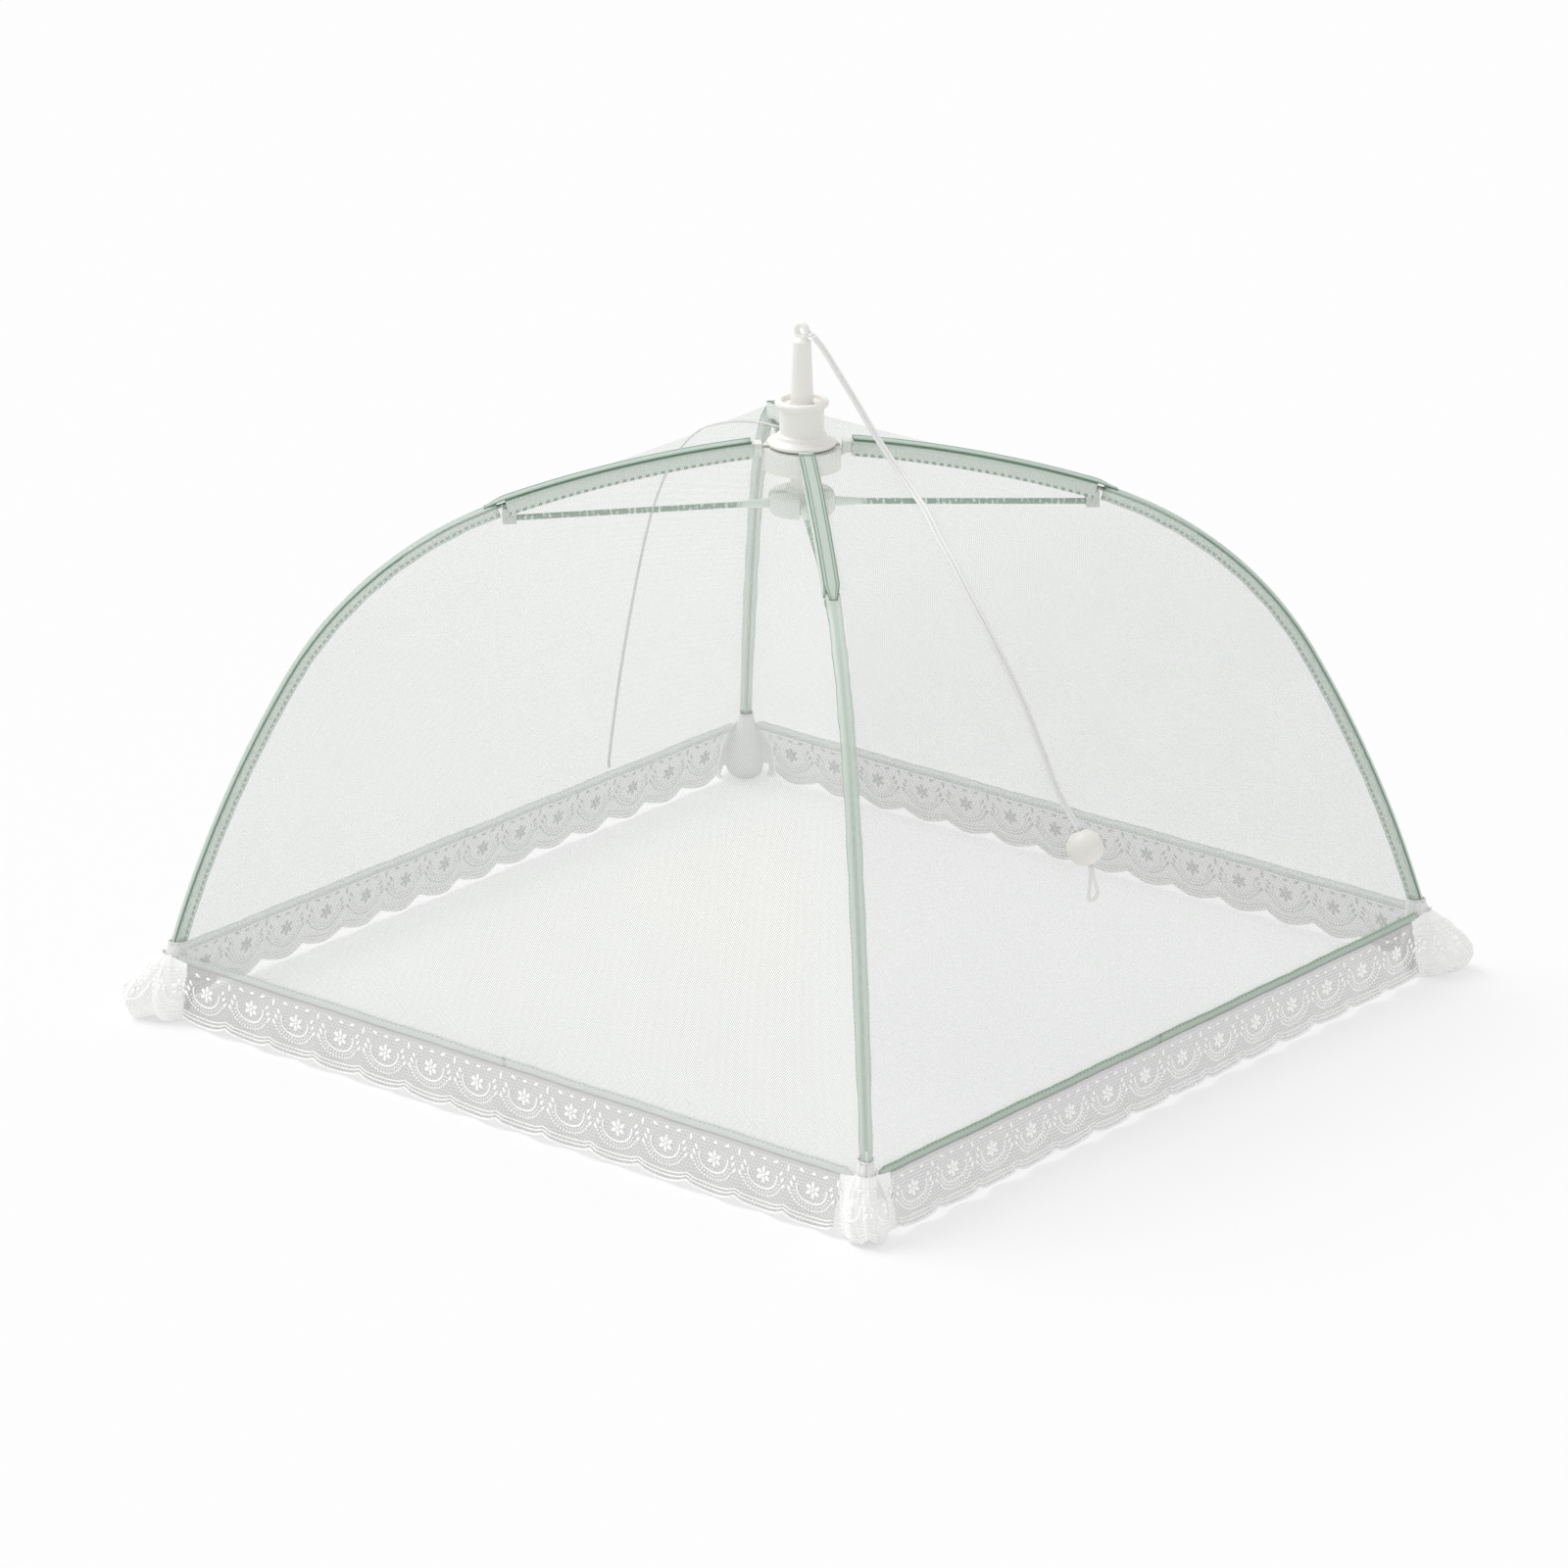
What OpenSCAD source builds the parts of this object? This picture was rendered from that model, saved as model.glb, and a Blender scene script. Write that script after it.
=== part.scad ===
// Square pop-up mesh cover with four folding ribs, a plunger, a pull cord and a lace hem.
// Millimetres, +Z up, origin on the table under the crown, ribs on the diagonals.

/* [Cover] */
// Side of the square hem
hem_side = 404; // [337:1:485]
// Height of the hem tape's middle above the table
hem_height = 28; // [25:0.5:34]
// Height of the rib hinge pins above the table
pivot_height = 255; // [213:1:306]

/* [Ribs] */
// Distance of the rib hinge pins from the plunger's axis
pivot_reach = 14; // [12:0.5:16.5]
// Distance of the rib joints from the plunger's axis
joint_reach = 130; // [108:1:156]
// Width of the upper rib's channel
channel_w = 7; // [6:0.1:8.4]
// Depth of the upper rib's channel
channel_depth = 7.3; // [6.2:0.1:8.7]
// Wall of the upper rib's channel
channel_wall = 1.1; // [0.9:0.05:1.3]
// Diameter of the lower rib's wire
wire_d = 1.8; // [1.5:0.1:2]
// Depth of the sleeve round the lower rib
sleeve_depth = 7; // [5.8:0.1:8.4]
// Diameter of the stretchers
stretcher_d = 2.8; // [2.4:0.1:3]

/* [Plunger] */
// Diameter of the rod where it slides in the crown
rod_d = 10.2; // [8.5:0.1:12.2]
// Height of the runner's trunnions below the rib hinge pins
runner_drop = 22; // [18.5:0.5:26]
// Diameter of the runner hub
runner_d = 29.6; // [28.8:0.2:35]
// Height of the rod's eye above the rib hinge pins
eye_rise = 57; // [48:0.5:68]

/* [Crown] */
// Diameter of the crown's lower flange
flange_d = 31; // [30:0.5:37]
// Diameter of the crown's barrel
barrel_d = 19.8; // [18:0.2:23.5]
// Diameter of the crown's cup rim
rim_d = 24.2; // [23:0.2:29]
// Height of the rim's top above the rib hinge pins
rim_rise = 26.5; // [22:0.5:31.5]

/* [Soft goods] */
// Thickness of the mesh panels
mesh_t = 0.8; // [0.7:0.05:0.9]
// Height of the hem tape
hem_tape_h = 4.6; // [3.8:0.1:5.5]
// Outward flare of the lace from its top to the table
lace_flare = 4; // [3:0.5:5]
// Radius of a gathered corner of the lace
ruffle_r = 19; // [16:0.5:22]
// Diameter of the cord bead
bead_d = 16; // [13.5:0.5:19]
// Diameter of one strand of the pull cord
cord_d = 1.6; // [1.4:0.1:1.9]

/* [Hidden] */
CORNERS = ["front", "right", "back", "left"];
SIDES = ["front_right", "back_right", "back_left", "front_left"];
CENTRE_NODES = ["crown_cap", "notch_ring", "rib_hinge_pins", "closing_seam", "pull_cord", "cord_bead",
    "plunger_rod", "runner_hub", "cord_knot"];
RIB_NODES = ["rib_bracket", "upper_rib", "lower_rib_wire", "joint_clip", "joint_rivet", "rib_sleeve",
    "rib_tip", "corner_pocket", "stretcher"];
SIDE_NODES = ["mesh_panel", "hem_tape", "lace_skirt"];

$fn = 96;
soft_gap = 0.3;      // clearance of soft pieces from what moves past them
slide_gap = 0.25;    // radial clearance of the rod in the crown
seat = 0.1;          // clearance between seated pieces of one body
pin_gap = 0.05;      // radial clearance of a hinge pin in its eye
cut = 1;             // how far a cutter runs past what it cuts

ivory = [0.95, 0.94, 0.90];
mint = [0.74, 0.86, 0.77];
sage = [0.62, 0.75, 0.64];
steel = [0.66, 0.70, 0.66];
white = [0.97, 0.97, 0.96];

// ---- the curve that every rib follows: three arcs in the rib's own plane, x outward ----
rise_at_start = 4;                          // the channel's middle above its hinge pin
arc_start = [pivot_reach + 2, pivot_height + rise_at_start];
dip = [5.5, 18, 60, 73];                    // degrees below level at the arcs' ends
tip_point = [hem_side / sqrt(2) - 4.4, hem_height + 7];
upper_run = joint_reach + 1 - arc_start[0];
upper_r = upper_run / (sin(dip[1]) - sin(dip[0]));
upper_fall = upper_r * (cos(dip[0]) - cos(dip[1]));
lower_run = tip_point[0] - arc_start[0] - upper_run;
lower_fall = arc_start[1] - tip_point[1] - upper_fall;
run_a = sin(dip[2]) - sin(dip[1]);
run_b = sin(dip[3]) - sin(dip[2]);
fall_a = cos(dip[1]) - cos(dip[2]);
fall_b = cos(dip[2]) - cos(dip[3]);
arcs_det = run_a * fall_b - run_b * fall_a;
shoulder_r = (lower_run * fall_b - run_b * lower_fall) / arcs_det;
skirt_r = (run_a * lower_fall - fall_a * lower_run) / arcs_det;
ARC_R = [upper_r, shoulder_r, skirt_r];

function outward(a) = [sin(a), cos(a)];
arc_centre_0 = arc_start - upper_r * outward(dip[0]);
arc_centre_1 = arc_centre_0 + (upper_r - shoulder_r) * outward(dip[1]);
arc_centre_2 = arc_centre_1 + (shoulder_r - skirt_r) * outward(dip[2]);
ARC_C = [arc_centre_0, arc_centre_1, arc_centre_2];
function rib_point(arc, a, off = 0) = ARC_C[arc] + (ARC_R[arc] + off) * outward(a);

channel_start = 6.3;                          // the channel starts this far out from the curve's start

// offsets outward from that curve
channel_top = 3.7;
channel_bottom = channel_top - channel_depth;
strip_t = 0.5;
sleeve_top = 2.9;
sleeve_bottom = sleeve_top - sleeve_depth;
sleeve_t = 0.6;
sleeve_half = wire_d / 2 + soft_gap + sleeve_t;
tip_grip = 3;                                 // length of wire that the tip holds
clip_past_joint = 4.6;                        // the sleeve starts this far past the upper rib's end
sleeve_from = dip[1] + clip_past_joint / shoulder_r * 180 / PI;
sleeve_to = dip[3] - (tip_grip + seat / 2) / skirt_r * 180 / PI;
wire_off = 1;
tip_d = wire_d + 2;
tip_reach = 5;                                // the tip runs this far past the wire's end
clip_t = 0.6;
clip_half = channel_w / 2 - channel_wall - seat;

// ---- hinge points ----
joint_dip = asin(sin(dip[1]) - (arc_start[0] + upper_run - joint_reach) / upper_r);
joint_z = rib_point(0, joint_dip)[1] - 6;
runner_z = pivot_height - runner_drop;
runner_reach = 12;
slot_half = 2.3;
pin_r = 0.9;
trunnion_r = 1.2;
trunnion_half = 4.4;
tab_r = 2.4;
hub_bottom = runner_z - 4;
hub_top = runner_z + 5;
hub_slot_r = rod_d / 2 + 1.2;         // the slots start here, clear of the stretchers' tabs as they fold
hub_notch_r = rod_d / 2 + 2.1;        // inner wall of the trunnions' way out through the hub's bottom

// ---- crown heights ----
flange_z = pivot_height + 5;
ring_top = flange_z - mesh_t - 2 * seat;
ring_bottom = pivot_height - 5.5;
rim_z = pivot_height + rim_rise;
spigot_r = rod_d / 2 + slide_gap + 2;
rod_bore_r = rod_d / 2 + slide_gap;
ring_r = pivot_reach + 3.5;

// ---- eye of the rod ----
eye_z = pivot_height + eye_rise;
eye_wire_r = 1.35;
eye_ring_r = 2.95;
knot_r = 2.1;
knot_x = rod_d / 2 - knot_r + slide_gap - 0.1;

// ---- corner pockets and lace ----
corner_reach = hem_side / sqrt(2);
lace_t = 1.2;
tape_t = 1.6;
lace_top = hem_height - 1;
pocket_reach = corner_reach - 1.9;
pocket_top = hem_height + 3;
pocket_half = 9;
edge_half = channel_w / 2 + soft_gap + 0.1;   // half of the slit that each rib runs in
hem_cut = 5.5;                                // hem tape stops this far from the rib's plane
lace_cut = ruffle_r + soft_gap;               // lace stops this far from the rib's plane

// ---- pull cord: middle line of its two strands, from the knot to the bead, then the end loop ----
strand_off = cord_d / 2 + 0.15;
CORD_RUN = [[6.3, 0, 311], [12, 1, 305], [20, 1, 296], [29, 1, 286], [39, 0, 275.5], [49, -1, 266],
    [59, -3, 258.5], [70, -7, 252.5], [82, -13, 247], [94, -20, 240.5], [106, -26, 234],
    [117.5, -31, 225.5], [129, -34.5, 215.5], [139.5, -36.5, 204], [150, -37, 190],
    [158.5, -37, 175.5], [166, -36.5, 160.5], [171.5, -36, 148.5], [177.5, -35.5, 139.5],
    [184, -35.5, 131.7], [187.4, -35.5, 124], [190.8, -35.5, 116.3], [191.6, -35.5, 112]];
LOOP_CENTRE = [192.2, -35.5, 104.2];
loop_half = 3.2;
bead_centre = [187.4, -35.5, 124];
bead_tilt = 24;                               // degrees the bead's bore leans from upright

// ================= helpers =================

// Places a rib's own plane on corner k
module at_corner(k) { rotate([0, 0, -45 + 90 * k]) children(); }

// Places the panel facing +X on side k
module at_side(k) { rotate([0, 0, 90 * k]) children(); }

// Sweeps a section along one of the rib's arcs; the section's x is outward, its y sideways
module along_arc(arc, from = 0, to = 0) {
    a0 = dip[arc] + from;
    a1 = dip[arc + 1] + to;
    translate([ARC_C[arc][0], 0, ARC_C[arc][1]]) rotate([90, 0, 0]) rotate([0, 0, 90 - a1])
        rotate_extrude(angle = a1 - a0, $fn = 256) translate([ARC_R[arc], 0]) children();
}

// Points along one arc, and the lower rib's whole curve, at an offset outward from it
function curve(arc, a0, a1, off, steps = 8) =
    [for (i = [0:steps]) rib_point(arc, a0 + (a1 - a0) * i / steps, off)];
function sleeve_curve(off) = concat(
    curve(1, sleeve_from, dip[2], off, 14),
    curve(2, dip[2] + 0.6, sleeve_to, off));
function reverse(list) = [for (i = [len(list) - 1:-1:0]) list[i]];

// Plate in a rib's plane between two curves, symmetric across it
module rib_slab(low, high, half) {
    translate([0, half, 0]) rotate([90, 0, 0]) linear_extrude(2 * half) polygon(concat(low, reverse(high)));
}

// U-section open towards the inside of the cover
module u_section(top, bottom, half, wall) {
    difference() {
        translate([bottom, -half]) square([top - bottom, 2 * half]);
        translate([bottom - cut, wall - half]) square([top - wall - bottom + cut, 2 * (half - wall)]);
    }
}

// Pin that lies across a rib's plane
module cross_pin(at, r, half) {
    translate([at[0], half, at[1]]) rotate([90, 0, 0]) cylinder(r = r, h = 2 * half, $fn = 48);
}

// Block in a rib's plane, between two corners and symmetric across it
module rib_block(low, high, half) {
    translate([low[0], -half, low[1]]) cube([high[0] - low[0], 2 * half, high[1] - low[1]]);
}

// ================= crown =================

module crown_cap() {
    cup_wall = 1.7;
    cup_depth = 3;
    color(ivory) rotate_extrude() difference() {
        union() {
            translate([0, flange_z]) square([barrel_d / 2, rim_z - flange_z - 1]);
            translate([0, rim_z - cup_depth - 1]) square([rim_d / 2 - 1, 1.2]);
            translate([rim_d / 2 - 1.6, rim_z - 2.4]) circle(r = 1.6);
            translate([rim_d / 2 - 3.2, rim_z - 3.9]) square([1.6, 3]);
            translate([0, flange_z]) square([flange_d / 2 - 1, 2]);
            translate([flange_d / 2 - 1, flange_z + 1]) circle(r = 1);
            polygon([[0, flange_z + 1.8], [flange_d / 2 - 1.4, flange_z + 1.8],
                [barrel_d / 2 + 1.8, flange_z + 3.2], [barrel_d / 2 + 1.2, flange_z + 4.6],
                [barrel_d / 2 - 0.2, flange_z + 5.4], [0, flange_z + 5.4]]);
            translate([0, ring_bottom + 2]) square([spigot_r, flange_z - ring_bottom]);
        }
        translate([-cut, ring_bottom]) square([rod_bore_r + cut, rim_z - ring_bottom + cut]);
        translate([-cut, rim_z - cup_depth]) square([rim_d / 2 - cup_wall - 1.2 + cut, cup_depth + cut]);
    }
}

module notch_ring() {
    color(ivory) difference() {
        rotate_extrude() translate([rod_bore_r, ring_bottom])
            square([ring_r - rod_bore_r, ring_top - ring_bottom]);
        translate([0, 0, ring_bottom + 2 - seat])
            cylinder(r = spigot_r + seat, h = ring_top - ring_bottom);
        for (k = [0:3]) at_corner(k) {
            rib_block([spigot_r + 1.2, ring_bottom - cut], [ring_r + cut, ring_top + cut], slot_half);
            cross_pin([pivot_reach, pivot_height], pin_r, trunnion_half);
        }
    }
}

module rib_hinge_pins() {
    color(steel) for (k = [0:3]) at_corner(k)
        cross_pin([pivot_reach, pivot_height], pin_r - 0.02, trunnion_half - seat);
}

// ================= plunger =================

module plunger_rod() {
    taper_z = rim_z + 1;
    neck_z = eye_z - 4.6;
    color(ivory) difference() {
        union() {
            translate([0, 0, runner_z - 5]) cylinder(d = rod_d, h = taper_z - runner_z + 5);
            translate([0, 0, taper_z]) cylinder(d1 = rod_d, d2 = rod_d - 2, h = neck_z - taper_z);
            translate([0, 0, neck_z]) cylinder(d1 = rod_d - 2, d2 = 2 * eye_wire_r + 1.6, h = 1.8);
            translate([0, 0, eye_z]) rotate([90, 0, 0]) rotate_extrude() translate([eye_ring_r, 0])
                circle(r = eye_wire_r, $fn = 32);
        }
        translate([0, 0, eye_z]) rotate([90, 0, 0])
            cylinder(r = eye_ring_r - eye_wire_r, h = rod_d, center = true, $fn = 48);
    }
}

module runner_hub() {
    edge = 0.8;
    collar = 2;
    color(ivory) difference() {
        rotate_extrude() difference() {
            union() {
                translate([0, hub_bottom]) square([runner_d / 2 - edge, hub_top - hub_bottom]);
                translate([runner_d / 2 - 2 * edge, hub_bottom + edge])
                    square([2 * edge, hub_top - hub_bottom - 2 * edge]);
                translate([0, hub_top - cut]) square([rod_d / 2 + 2, collar + cut]);
            }
            translate([-cut, hub_bottom - cut])
                square([rod_d / 2 + cut, hub_top + collar - hub_bottom + 2 * cut]);
        }
        for (k = [0:3]) at_corner(k) {
            rib_block([hub_slot_r, hub_bottom - cut], [runner_d, hub_top + cut], slot_half);
            rib_block([hub_notch_r, hub_bottom - cut], [runner_reach, runner_z - trunnion_r],
                trunnion_half + soft_gap);
            rib_block([runner_reach - trunnion_r - 0.6, hub_bottom - cut],
                [runner_reach + trunnion_r + 0.2, runner_z + trunnion_r + 0.1], trunnion_half + soft_gap);
        }
    }
}

module cord_knot() {
    color(white) difference() {
        translate([knot_x, 0, eye_z - 0.6]) sphere(r = knot_r, $fn = 48);
        translate([0, 0, eye_z]) rotate([90, 0, 0]) rotate_extrude() translate([eye_ring_r, 0])
            circle(r = eye_wire_r + pin_gap, $fn = 32);
        translate([0, 0, eye_z]) rotate([90, 0, 0])
            cylinder(r = eye_ring_r - eye_wire_r + 0.4, h = rod_d, center = true, $fn = 48);
    }
}

// ================= one rib =================

module rib_bracket() {
    bracket_end = arc_start[0] + 8;
    tongue_half = channel_w / 2 - channel_wall - seat;
    tongue_dip = asin(sin(dip[0]) + (bracket_end + 4 - arc_start[0]) / upper_r) - dip[0];
    color(ivory) difference() {
        union() {
            cross_pin([pivot_reach, pivot_height], 2.4, slot_half - 0.2);
            rib_block([pivot_reach - 2.4, pivot_height], [ring_r + 1.5, pivot_height + 3], slot_half - 0.2);
            rib_block([ring_r + 0.5, pivot_height + 1.2], [bracket_end - 2.7, pivot_height + 6.4],
                channel_w / 2 - 0.3);
            along_arc(0, 0.2, tongue_dip + dip[0] - dip[1])
                translate([-2.4, -tongue_half]) square([4.9, 2 * tongue_half]);
        }
        cross_pin([pivot_reach, pivot_height], pin_r + pin_gap, slot_half + cut);
    }
}

module upper_rib() {
    from = asin(sin(dip[0]) + channel_start / upper_r) - dip[0];
    color(mint) along_arc(0, from, 0)
        u_section(channel_top, channel_bottom, channel_w / 2, channel_wall);
}

module lower_rib_wire() {
    grip = 1.2;                                // degrees of the upper arc that the clip holds
    steps = [1, 20, 20];
    function wire_at(arc, a) = let (p = rib_point(arc, a, wire_off)) [p[0], 0, p[1]];
    points = concat(
        [wire_at(0, dip[1] - grip)],
        [for (arc = [1, 2], i = [0:steps[arc] - 1])
            wire_at(arc, dip[arc] + (dip[arc + 1] - dip[arc]) * i / steps[arc])],
        [wire_at(2, dip[3])]);
    color(sage) tube(points, wire_d / 2, 8);
}

module joint_clip() {
    grip = wire_d / 2 + pin_gap;
    ear_low = joint_z - 2.2;
    clip_low = -2.6;
    ear_size = [6, clip_t, 7];
    color(steel) difference() {
        union() {
            along_arc(0, dip[1] - dip[0] - 1.3, 0)
                u_section(wire_off + grip + clip_t, clip_low, clip_half, clip_t);
            for (s = [-1, 1])
                translate([joint_reach - ear_size[0] / 2, s * (clip_half - clip_t / 2) - clip_t / 2, ear_low])
                    cube(ear_size);
        }
        cross_pin([joint_reach, joint_z], pin_r, clip_half + cut);
    }
}

module joint_rivet() {
    head_t = 0.25;
    color(steel) {
        cross_pin([joint_reach, joint_z], pin_r - 0.02, clip_half + 0.05);
        for (s = [-1, 1]) translate([0, s * (clip_half + head_t + pin_gap), 0])
            cross_pin([joint_reach, joint_z], 1.5, head_t);
    }
}

module rib_sleeve() {
    strip_from = asin(sin(dip[0]) + channel_start / upper_r);
    overlap = 3.2;                             // degrees past the joint that the strip reaches
    strip_low = channel_top + seat;
    join_low = sleeve_top - sleeve_t;
    function strip_curve(off) = concat(
        curve(0, strip_from, dip[1], off),
        curve(1, dip[1], dip[1] + overlap, off));
    color(mint) union() {
        rib_slab(strip_curve(strip_low), strip_curve(strip_low + strip_t), channel_w / 2);
        rib_slab(curve(1, sleeve_from, dip[1] + overlap, join_low),
            curve(1, sleeve_from, dip[1] + overlap, strip_low + strip_t / 2), sleeve_half);
        difference() {
            rib_slab(sleeve_curve(sleeve_bottom), sleeve_curve(sleeve_top), sleeve_half);
            rib_slab(sleeve_curve(sleeve_bottom - cut), sleeve_curve(join_low), sleeve_half - sleeve_t);
        }
    }
}

// Puts a piece at the end of the lower rib's wire, its +Z running on along the wire
module at_wire_end() {
    end = rib_point(2, dip[3], wire_off);
    translate([end[0], 0, end[1]]) rotate([0, 90 + dip[3], 0]) children();
}

module rib_tip() {
    color(ivory) at_wire_end() difference() {
        union() {
            translate([0, 0, -tip_grip]) cylinder(d = tip_d, h = tip_grip + tip_reach, $fn = 32);
            translate([0, 0, tip_reach]) sphere(d = tip_d, $fn = 32);
        }
        translate([0, 0, -tip_grip - cut])
            cylinder(d = wire_d + 4 * pin_gap, h = tip_grip + cut + seat, $fn = 32);
    }
}

module corner_pocket() {
    color(white) translate([pocket_reach, 0, 0]) difference() {
        union() {
            rotate_extrude($fn = 48) polygon([[0, 0.6], [5, 0.6], [8, 3], [pocket_half, 9], [8.2, 16],
                [6.2, 22], [edge_half + 1.1, hem_height - 2], [edge_half, pocket_top], [0, pocket_top]]);
            rotate([0, 0, -78]) rotate_extrude(angle = 156, $fn = 48)
                polygon([[pocket_half + soft_gap, 2], [14, 0.6], [ruffle_r, 5], [ruffle_r, 12], [14, 20],
                    [8.4, 23], [7.6, 20.5], [11, 17], [14.5, 10], [12, 4.5], [pocket_half + soft_gap, 5]]);
        }
        translate([-pocket_reach, 0, 0]) along_arc(2, 0, 2.2)
            translate([-5, -sleeve_half - soft_gap])
                square([5 + sleeve_top + seat, 2 * (sleeve_half + soft_gap)]);
        translate([-pocket_reach, 0, 0]) at_wire_end()
            cylinder(d = tip_d + 4 * seat, h = tip_reach + 4, $fn = 32);
    }
}

// ================= one stretcher =================

module stretcher() {
    run = joint_reach - runner_reach;
    lift = runner_z - joint_z;
    lean = atan2(lift, run);
    length = norm([run, lift]);
    tab_half = slot_half - 0.3;
    joint_half = clip_half - clip_t - 0.15;
    joint_eye_r = 2;
    taper = 16;
    color(sage) translate([joint_reach, 0, joint_z]) rotate([0, lean, 0]) difference() {
        union() {
            cross_pin([0, 0], joint_eye_r, joint_half);
            translate([-length, 0, 0]) rotate([0, 90, 0])
                cylinder(d = stretcher_d - 0.2, h = length, $fn = 32);
            cross_pin([-length, 0], tab_r, tab_half);
            translate([-length, 0, 0]) rotate([0, 90, 0])
                cylinder(r1 = tab_r, r2 = stretcher_d / 2, h = taper, $fn = 32);
            cross_pin([-length, 0], trunnion_r, trunnion_half);
        }
        cross_pin([0, 0], pin_r + pin_gap, slot_half);
        for (s = [-1, 1]) translate([-2 * taper / 3, s * (joint_half + tab_r) - tab_r, -2 * tab_r])
            cube([taper, 2 * tab_r, 4 * tab_r]);
        for (s = [-1, 1]) translate([-length - 2 * tab_r, s * (tab_half + tab_r) - tab_r, -2 * tab_r])
            cube([taper + 4 * tab_r, 2 * tab_r, 4 * tab_r]);
    }
}

// ================= soft goods, one side =================

// Face of the cover at an offset outward from the ribs' curve, from the crown to the hem
face_off = 2;                                  // the panels' inner face, outward from the ribs' curve
face_k = 2.9;                                  // widens the face so that it meets the sleeves' sides
crown_leg = [ring_r / sqrt(2) - 3, flange_d / 2 + 1];
face_steps = [6, 12, 6];
function face_at(arc, a, off) = let (p = rib_point(arc, a, off)) [(p[0] + face_k) / sqrt(2), p[1]];
function face_points(off) = concat(
    [for (x = crown_leg) [x, ring_top + seat + off - face_off]],
    [for (arc = [0, 1, 2], i = [1:face_steps[arc]])
        face_at(arc, dip[arc] + (dip[arc + 1] - dip[arc]) * i / face_steps[arc], off)],
    [[hem_side / 2 + off - face_off, hem_top + seat]]);
hem_top = hem_height + hem_tape_h / 2;
function face_band(low, high) = concat(face_points(low), reverse(face_points(high)));

// Everything between the two rib planes that bound the panel facing +X, less a slit along each
module between_ribs(slit, height) {
    reach = hem_side;
    linear_extrude(height) polygon([[slit * sqrt(2), 0], [reach + slit * sqrt(2), -reach],
        [reach + slit * sqrt(2), reach]]);
}

module face_slab(low, high) {
    translate([0, hem_side / 2 + cut, 0]) rotate([90, 0, 0]) linear_extrude(hem_side + 2 * cut)
        polygon(face_band(low, high));
}

module mesh_panel() {
    color(white) intersection() {
        face_slab(face_off, face_off + mesh_t);
        between_ribs(edge_half, 2 * pivot_height);
        translate([0, -hem_side, hem_top + seat]) cube([hem_side, 2 * hem_side, 2 * pivot_height]);
    }
}

module hem_tape() {
    color(sage) intersection() {
        translate([hem_side / 2, -hem_side, hem_height - hem_tape_h / 2])
            cube([tape_t, 2 * hem_side, hem_tape_h]);
        between_ribs(hem_cut, 2 * hem_height);
    }
}

module lace_skirt() {
    x = hem_side / 2 + tape_t + seat;
    color(white) intersection() {
        translate([0, hem_side, 0]) rotate([90, 0, 0]) linear_extrude(2 * hem_side)
            polygon([[x + lace_flare, 0], [x + lace_flare + lace_t, 0],
                [x + lace_t, lace_top], [x, lace_top]]);
        between_ribs(lace_cut, 2 * hem_height);
    }
}

// Narrow seam tape that closes the tube of mesh, on the back-left face
module closing_seam() {
    seam_w = 2;
    seam_end = 0.5;                           // share of the half side where it meets the hem
    color(white) intersection() {
        at_side(2) face_slab(face_off + mesh_t + 0.05, face_off + mesh_t + 0.55);
        rotate([0, 0, 180 - atan(seam_end)]) translate([flange_d / 2 + 2, -seam_w / 2, hem_top + seat])
            cube([hem_side, seam_w, pivot_height]);
    }
}

// ================= pull cord =================

function unit(v) = v / norm(v);
function sideways(v) = unit(cross(v, [0, 0, 1]));
function tangent(pts, i) = unit(pts[min(i + 1, len(pts) - 1)] - pts[max(i - 1, 0)]);
function strand(pts, side) =
    [for (i = [0:len(pts) - 1]) pts[i] + side * strand_off * sideways(tangent(pts, i))];
loop_turns = [for (a = [0:30:180]) LOOP_CENTRE + loop_half * [0, -cos(a), -sin(a)]];
CORD_PATH = concat(strand(CORD_RUN, 1), loop_turns, reverse(strand(CORD_RUN, -1)));

function ring_at(pts, i, r, sides) =
    let (t = tangent(pts, i), u = unit(cross(t, [0.3, 1, 0.2])), v = cross(t, u))
    [for (k = [0:sides - 1]) pts[i] + r * (cos(360 * k / sides) * u + sin(360 * k / sides) * v)];

module tube(pts, r, sides) {
    n = len(pts);
    points = [for (i = [0:n - 1]) each ring_at(pts, i, r, sides)];
    walls = [for (i = [0:n - 2], k = [0:sides - 1]) let (a = i * sides + k, b = i * sides + (k + 1) % sides)
        each [[a, b, b + sides], [a, b + sides, a + sides]]];
    ends = [[for (k = [sides - 1:-1:0]) k], [for (k = [0:sides - 1]) (n - 1) * sides + k]];
    polyhedron(points, concat(walls, ends));
}

module pull_cord() { color(white) tube(CORD_PATH, cord_d / 2, 8); }

module cord_bead() {
    color(white) translate(bead_centre) rotate([0, -bead_tilt + 180, 0]) difference() {
        sphere(d = bead_d);
        cylinder(r = strand_off + cord_d / 2 + 0.6, h = 2 * bead_d, center = true, $fn = 32);
    }
}

// ================= nodes =================

crown_cap();
notch_ring();
rib_hinge_pins();
closing_seam();
pull_cord();
cord_bead();
plunger_rod();
runner_hub();
cord_knot();
for (k = [0:3]) {
    at_corner(k) rib_bracket();
    at_corner(k) upper_rib();
    at_corner(k) lower_rib_wire();
    at_corner(k) joint_clip();
    at_corner(k) joint_rivet();
    at_corner(k) rib_sleeve();
    at_corner(k) rib_tip();
    at_corner(k) corner_pocket();
    at_corner(k) stretcher();
    at_side(k) mesh_panel();
    at_side(k) hem_tape();
    at_side(k) lace_skirt();
}
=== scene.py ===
"""Looks of a square pop-up mesh cover: netting, lace, ribs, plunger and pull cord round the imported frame."""
from math import asin, copysign, cos, pi, radians, sin, sqrt

import bpy
import numpy as np
from mathutils import Matrix, Vector


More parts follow.
